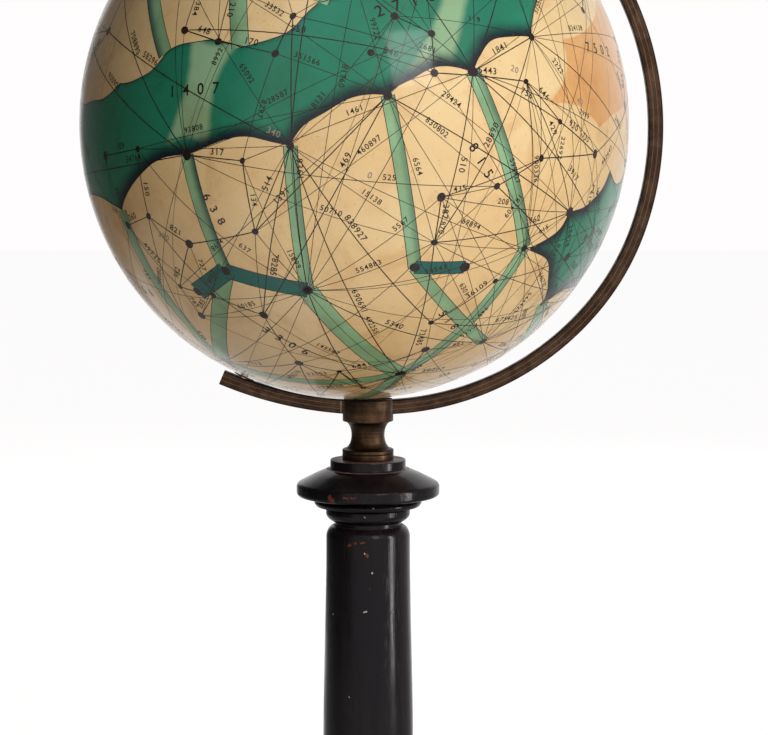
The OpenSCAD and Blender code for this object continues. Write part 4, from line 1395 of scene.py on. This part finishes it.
class GLOBE_OT_socket(bpy.types.Operator):
    """Turn the slotted socket that holds the arm"""

    bl_idname = "table_globe.socket"
    bl_label = "Arm socket"

    def execute(self, context):
        arm, ball = context.scene.globe_arm, context.scene.globe_ball
        low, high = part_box("arm_socket")
        top = (high.z - low.z) / MM
        base_r, drum_r, waist_r = arm.socket_base / 2, arm.socket_drum / 2, arm.socket_waist / 2
        base_h, waist_h, soft = 4.0, 10.6, 0.3
        cove_in = drum_r - 0.2
        profile = [(0, 0), (base_r - soft, 0), *arc((base_r - soft, soft), soft, -90, 0, 3),
                   (base_r, base_h - 1.7), (base_r - 0.2, base_h - 1.45), (base_r, base_h - 1.2),
                   *arc((base_r - 0.5, base_h - 0.5), 0.5, 0, 90, 4), (cove_in, base_h)]
        profile += arc((cove_in, base_h + waist_h / 2), cove_in - waist_r, 270, 90, 28,
                       waist_h / 2 / (cove_in - waist_r))
        profile += [(drum_r - 0.05, base_h + waist_h + 0.05), (drum_r, base_h + waist_h + 0.15)]
        profile += arc((drum_r - soft, top - soft), soft, 0, 90, 4)
        profile += [(0, top)]
        bm = bmesh.new()
        turn_profile(bm, profile, 144, lift(low.z / MM))
        piece = publish("turned_socket", bm, "socket_bronze", "stand", ("arm_socket",))
        radii, centres, _ = arm_bends(ball.radius, arm)
        play = 0.1
        place = Matrix.Translation(CENTRE + centres[0] * MM) @ Matrix.Rotation(math.pi / 2, 4, "X")
        cut_away(piece, rod(radii[0] + play, arm.thickness + 2 * play, 720, place))
        # A thin pale bronze tick on each face of the arm, just left of the socket.
        mark = bmesh.new()
        mark_x, mark_w, mark_t, inset = -10.1, 0.34, 0.07, 0.02
        beside = mark_x - CENTRE.x / MM - centres[0].x
        height = centres[0].z - math.sqrt((radii[0] - arm.width / 2) ** 2 - beside ** 2)
        for side in (-1, 1):
            spot = Vector((mark_x * MM, side * (arm.thickness / 2 - inset) * MM, CENTRE.z + height * MM))
            size = Matrix.Diagonal((mark_w * MM, mark_t * MM, (arm.width - 1.0) * MM, 1))
            bmesh.ops.create_cube(mark, size=1, matrix=Matrix.Translation(spot) @ size)
        publish("index_marks", mark, "mark_bronze", "stand")
        return {"FINISHED"}


class GLOBE_OT_column(bpy.types.Operator):
    """Turn the column's cap and its shaft"""

    bl_idname = "table_globe.column"
    bl_label = "Column"

    def execute(self, context):
        stand = context.scene.globe_stand
        socket_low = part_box("arm_socket")[0]
        cap_top = socket_low.z / MM
        disc, rim, ring = stand.disc / 2, stand.cap / 2, stand.ring / 2
        low_ring, neck = stand.low_ring / 2, stand.neck / 2
        quirk, soft, seat = 0.6, 0.3, 1.2
        disc_h, cone_h, flange_h, groove, ring_h, low_h = 3.0, 5.4, 4.6, 0.9, 2.3, 5.5
        upper, lower = 1.8, 1.3
        cone_top = -(disc_h + quirk)
        rim_top = cone_top - cone_h
        rim_low = rim_top - flange_h
        ring_top = rim_low - groove - quirk
        low_top = ring_top - ring_h - quirk
        low_end = low_top - low_h
        cap_end = low_end - seat
        cap = [(0, 0), (disc - soft, 0), *arc((disc - soft, -soft), soft, 90, 0, 3), (disc, -2.7),
               (disc + 0.1, -disc_h), (disc + 0.35, cone_top + 0.25), (disc + 1.4, cone_top),
               (disc + 5.5, cone_top - 1.75),
               *arc((rim - upper, rim_top - 1.17), upper, 63, 0, 8),
               *arc((rim - lower, rim_low + lower), lower, 0, -90, 8),
               (ring + 1.4, ring_top + quirk + 0.2), (ring - 0.3, ring_top + quirk),
               (ring - 1.6, ring_top + quirk / 2), (ring - 1.2, ring_top),
               *arc((ring - 1, ring_top - 1), 1, 80, -30, 6), (ring - 0.7, ring_top - ring_h),
               (low_ring - 1.2, low_top + 0.2), *arc((low_ring - 0.8, low_top - 0.8), 0.8, 70, 0, 5)]
        cap += [(neck + (low_ring - neck) * math.cos(math.radians(a)) ** 1.5,
                 low_end + 0.6 * low_h * (1 - math.sin(math.radians(a)))) for a in range(0, 91, 9)]
        cap += [(neck, cap_end), (neck - 2, cap_end), (0, cap_end)]
        turned_wood("turned_cap", cap, "ebonised_cap", "column_cap", lift(cap_top), 192)
        shaft_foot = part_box("foot_dome")[1].z / MM
        shaft_top = cap_top + cap_end - shaft_foot
        top_r, low_r, bead_r = stand.shaft_top / 2, stand.shaft_low / 2, 20.5
        bead, cove, cove_h, shoulder, swell = 3.0, 1.6, 4.6, 4.6, 88.0
        shaft = [(0, 0), (bead_r - bead, 0), *arc((bead_r - bead, bead), bead, -90, 90, 16),
                 (low_r + cove, 2 * bead), *arc((low_r + cove, 2 * bead + cove_h), cove, -90, -180, 6)]
        shaft += [(low_r - (low_r - top_r) * ease(i / 24), shaft_top - swell + (swell - shoulder) * i / 24)
                  for i in range(25)]
        shaft += [(neck + (top_r - neck) * math.cos(math.radians(a)) ** 1.1,
                   shaft_top - shoulder * (1 - math.sin(math.radians(a)))) for a in range(8, 90, 8)]
        shaft += [(neck, shaft_top), (0, shaft_top)]
        turned_wood("turned_shaft", shaft, "ebonised_shaft", "column_shaft", lift(shaft_foot), 144)
        return {"FINISHED"}


class GLOBE_OT_foot(bpy.types.Operator):
    """Turn the domed foot and its plinth"""

    bl_idname = "table_globe.foot"
    bl_label = "Foot"

    def execute(self, context):
        stand = context.scene.globe_stand
        radius = stand.foot / 2
        base, top = (corner.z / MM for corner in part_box("foot_plinth"))
        height = top - base
        toe, edge, seat, fillet, step = 1.5, 3.0, 2.0, 1.0, 9.0
        edge_top = height - seat - fillet
        plinth = [(0, 0), *arc((radius - toe, toe), toe, -90, 0, 6),
                  *arc((radius - edge, edge_top - edge), edge, 0, 90, 10), (radius - edge - 1.5, edge_top),
                  (radius - edge - 1.5, edge_top + fillet),
                  (radius - step + 1, edge_top + fillet), (radius - step + 1, height), (0, height)]
        turned_wood("turned_plinth", plinth, "ebonised_foot", "foot_plinth", lift(base), 192)
        low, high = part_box("foot_dome")
        dome_h = (high.z - low.z) / MM
        lip, top_r, collar, fillet_h, room = 1.5, 25.0, 5.0, 2.5, 2.0
        foot_r = radius - step - lip
        rise = dome_h - collar - fillet_h - room
        span = foot_r - top_r - room
        bead_z = dome_h - 0.5 - collar / 2
        dome = [(0, 0), (foot_r, 0), (foot_r, fillet_h), (foot_r - lip, fillet_h)]
        dome += [(foot_r - lip - span * (0.62 * t + 0.38 * ease(t)), fillet_h + rise * t ** 1.9)
                 for t in (i / 40 for i in range(1, 41))]
        dome += [(top_r - 0.5, fillet_h + rise), (top_r - 0.5, bead_z - collar / 2 - 0.5),
                 *arc((top_r - collar / 2, bead_z), collar / 2, -90, 90, 14),
                 (top_r - collar / 2 - 1, dome_h), (0, dome_h)]
        turned_wood("turned_dome", dome, "ebonised_foot", "foot_dome", lift(low.z / MM), 192)
        return {"FINISHED"}


PLAIN_NODES = {
    "foot_felt": "felt", "foot_screw": "steel", "foot_screw_washer": "steel", "socket_stud": "steel",
    "arm_screw": "steel", "lower_pivot_pin": "steel", "lower_thrust_washer": "leather",
    "upper_pivot_screw": "brass", "upper_thrust_washer": "leather", "distance_collar": "brass",
    "lower_pole_bush": "brass", "upper_pole_bush": "brass", "axle_post": "beech",
    "lower_pole_block": "beech", "upper_pole_block": "beech", "pole_tacks": "steel",
    "joint_hoop": "pasteboard", "lower_hemisphere": "pasteboard", "upper_hemisphere": "pasteboard",
    "plaster_coat": "plaster",
}


class GLOBE_OT_fittings(bpy.types.Operator):
    """Give the pivots, washers, screws and inner pieces their finishes"""

    bl_idname = "table_globe.fittings"
    bl_label = "Fittings"

    def execute(self, context):
        for node, material in PLAIN_NODES.items():
            for slot in frame["nodes"][node].material_slots:
                slot.material = FINISHES[material]
        return {"FINISHED"}


class GLOBE_OT_stage(bpy.types.Operator):
    """Set up the pale floor, the lamps, the room light and the camera"""

    bl_idname = "table_globe.stage"
    bl_label = "Stage"

    def execute(self, context):
        stage = context.scene.globe_stage
        self.lay_floor(stage)
        self.light_room(stage)
        self.place_lamps(stage)
        self.place_camera(stage)
        return {"FINISHED"}

    @staticmethod
    def lay_floor(stage):
        """A white floor that keeps the object's shadow."""
        bm = bmesh.new()
        bmesh.ops.create_grid(bm, x_segments=1, y_segments=1, size=6)
        mesh = bpy.data.meshes.new("floor")
        bm.to_mesh(mesh)
        bm.free()
        floor = bpy.data.objects.new("floor", mesh)
        bpy.context.scene.collection.objects.link(floor)
        made = bpy.data.materials.new("studio_floor")
        made.use_nodes = True
        tree = made.node_tree
        tree.nodes.remove(tree.nodes["Principled BSDF"])
        lit = add(tree, "ShaderNodeBsdfDiffuse", {"Color": (0.86, 0.75, 0.63, 1)})
        dim = add(tree, "ShaderNodeBsdfDiffuse", {"Color": (0.12, 0.12, 0.12, 1)})
        strength = product(tree, dark_screens(tree, tuple(CENTRE), stage.screen, stage.dark_sides), 0.965)
        glow = add(tree, "ShaderNodeEmission", {"Color": (1, 0.99, 0.99, 1), "Strength": strength})
        white = add(tree, "ShaderNodeAddShader", {0: dim.outputs[0], 1: glow.outputs[0]})
        shown = {0: backdrop_rays(tree), 1: lit.outputs[0], 2: white.outputs[0]}
        chosen = add(tree, "ShaderNodeMixShader", shown)
        tree.links.new(chosen.outputs[0], tree.nodes["Material Output"].inputs["Surface"])
        mesh.materials.append(made)

    @staticmethod
    def light_room(stage):
        """White behind the object, and a warm dim room round it."""
        world = bpy.data.worlds.new("room")
        world.use_nodes = True
        tree = world.node_tree
        seen = backdrop_rays(tree)
        bright = remap(tree, seen, 0, 1, stage.room_light, 1.0, smooth=False)
        strength = product(tree, bright, dark_screens(tree, (0, 0, 0), stage.screen, stage.dark_sides))
        room = blend_colour(tree, seen, (1.0, 0.88, 0.75, 1), (1.0, 0.985, 0.985, 1))
        fill(tree, tree.nodes["Background"], {"Strength": strength, "Color": room})
        bpy.context.scene.world = world

    @staticmethod
    def place_lamps(stage):
        """The lamps, two of which the gloss doesn't show, and one of which lights the stand alone."""
        middle, column, warm = (0, 0, 0.3), (0, 0, 0.2), (1, 0.985, 0.95)
        objects = bpy.data.objects
        key = lamp("key_lamp", (0.9, -1.3, 0.95), middle, (1.0, 1.0), stage.key_power, warm)
        lamp("window_lamp", (0.585, -1.314, 1.05), tuple(CENTRE), (0.45, 0.6), stage.window_power, (1, 1, 1))
        back = lamp("back_lamp", (0.35, 1.5, 0.95), middle, (1.2, 1.0), stage.back_power, warm)
        for unseen in (key, back, objects["meridian_arm_bar"], objects["index_marks"]):
            unseen.visible_glossy = False
        size, tint = (0.11, 0.45), (1, 0.97, 0.93)
        strip = lamp("strip_lamp", (0.554, -0.23, 0.26), column, size, stage.strip_power, tint)
        stand_only = bpy.data.collections.new("lit_by_strip")
        for name in ("turned_socket", "turned_cap", "turned_shaft", "turned_plinth", "turned_dome"):
            stand_only.objects.link(objects[name])
        strip.light_linking.receiver_collection = stand_only

    @staticmethod
    def place_camera(stage):
        """The viewpoint of the photograph."""
        scene = bpy.context.scene
        camera = bpy.data.cameras.new("photo_camera")
        camera.lens = stage.focal_length
        camera.sensor_width = 36
        camera.clip_start, camera.clip_end = 0.05, 30
        holder = bpy.data.objects.new("photo_camera", camera)
        holder.location = (stage.eye_right * MM, -stage.eye_distance * MM, CENTRE.z)
        holder.rotation_euler = (math.pi / 2 - stage.look_down, 0, 0)
        scene.collection.objects.link(holder)
        scene.camera = holder
        scene.view_settings.view_transform = "Standard"


class GLOBE_PT_panel(bpy.types.Panel):
    """Lists the steps that build the globe"""

    bl_label = "Table Globe"
    bl_idname = "GLOBE_PT_panel"
    bl_space_type = "VIEW_3D"
    bl_region_type = "UI"
    bl_category = "Globe"

    def draw(self, context):
        for operator in OPERATORS:
            self.layout.operator(operator.bl_idname)


OPERATORS = (
    GLOBE_OT_materials, GLOBE_OT_paper, GLOBE_OT_bands, GLOBE_OT_lines, GLOBE_OT_numbers, GLOBE_OT_arm,
    GLOBE_OT_socket, GLOBE_OT_column, GLOBE_OT_foot, GLOBE_OT_fittings, GLOBE_OT_stage,
)
SETTINGS = {
    "globe_ball": BallSettings, "globe_arm": ArmSettings, "globe_stand": StandSettings,
    "globe_stage": StageSettings,
}


def register():
    """Registers the settings, the operators and the panel."""
    for name, group in SETTINGS.items():
        bpy.utils.register_class(group)
        setattr(bpy.types.Scene, name, bpy.props.PointerProperty(type=group))
    for item in (*OPERATORS, GLOBE_PT_panel):
        bpy.utils.register_class(item)


def unregister():
    """Takes them all away again."""
    for item in (GLOBE_PT_panel, *reversed(OPERATORS)):
        bpy.utils.unregister_class(item)
    for name, group in SETTINGS.items():
        delattr(bpy.types.Scene, name)
        bpy.utils.unregister_class(group)


def main():
    """Builds the whole globe."""
    register()
    for operator in OPERATORS:
        group, action = operator.bl_idname.split(".")
        getattr(getattr(bpy.ops, group), action)()


if __name__ == "__main__":
    main()
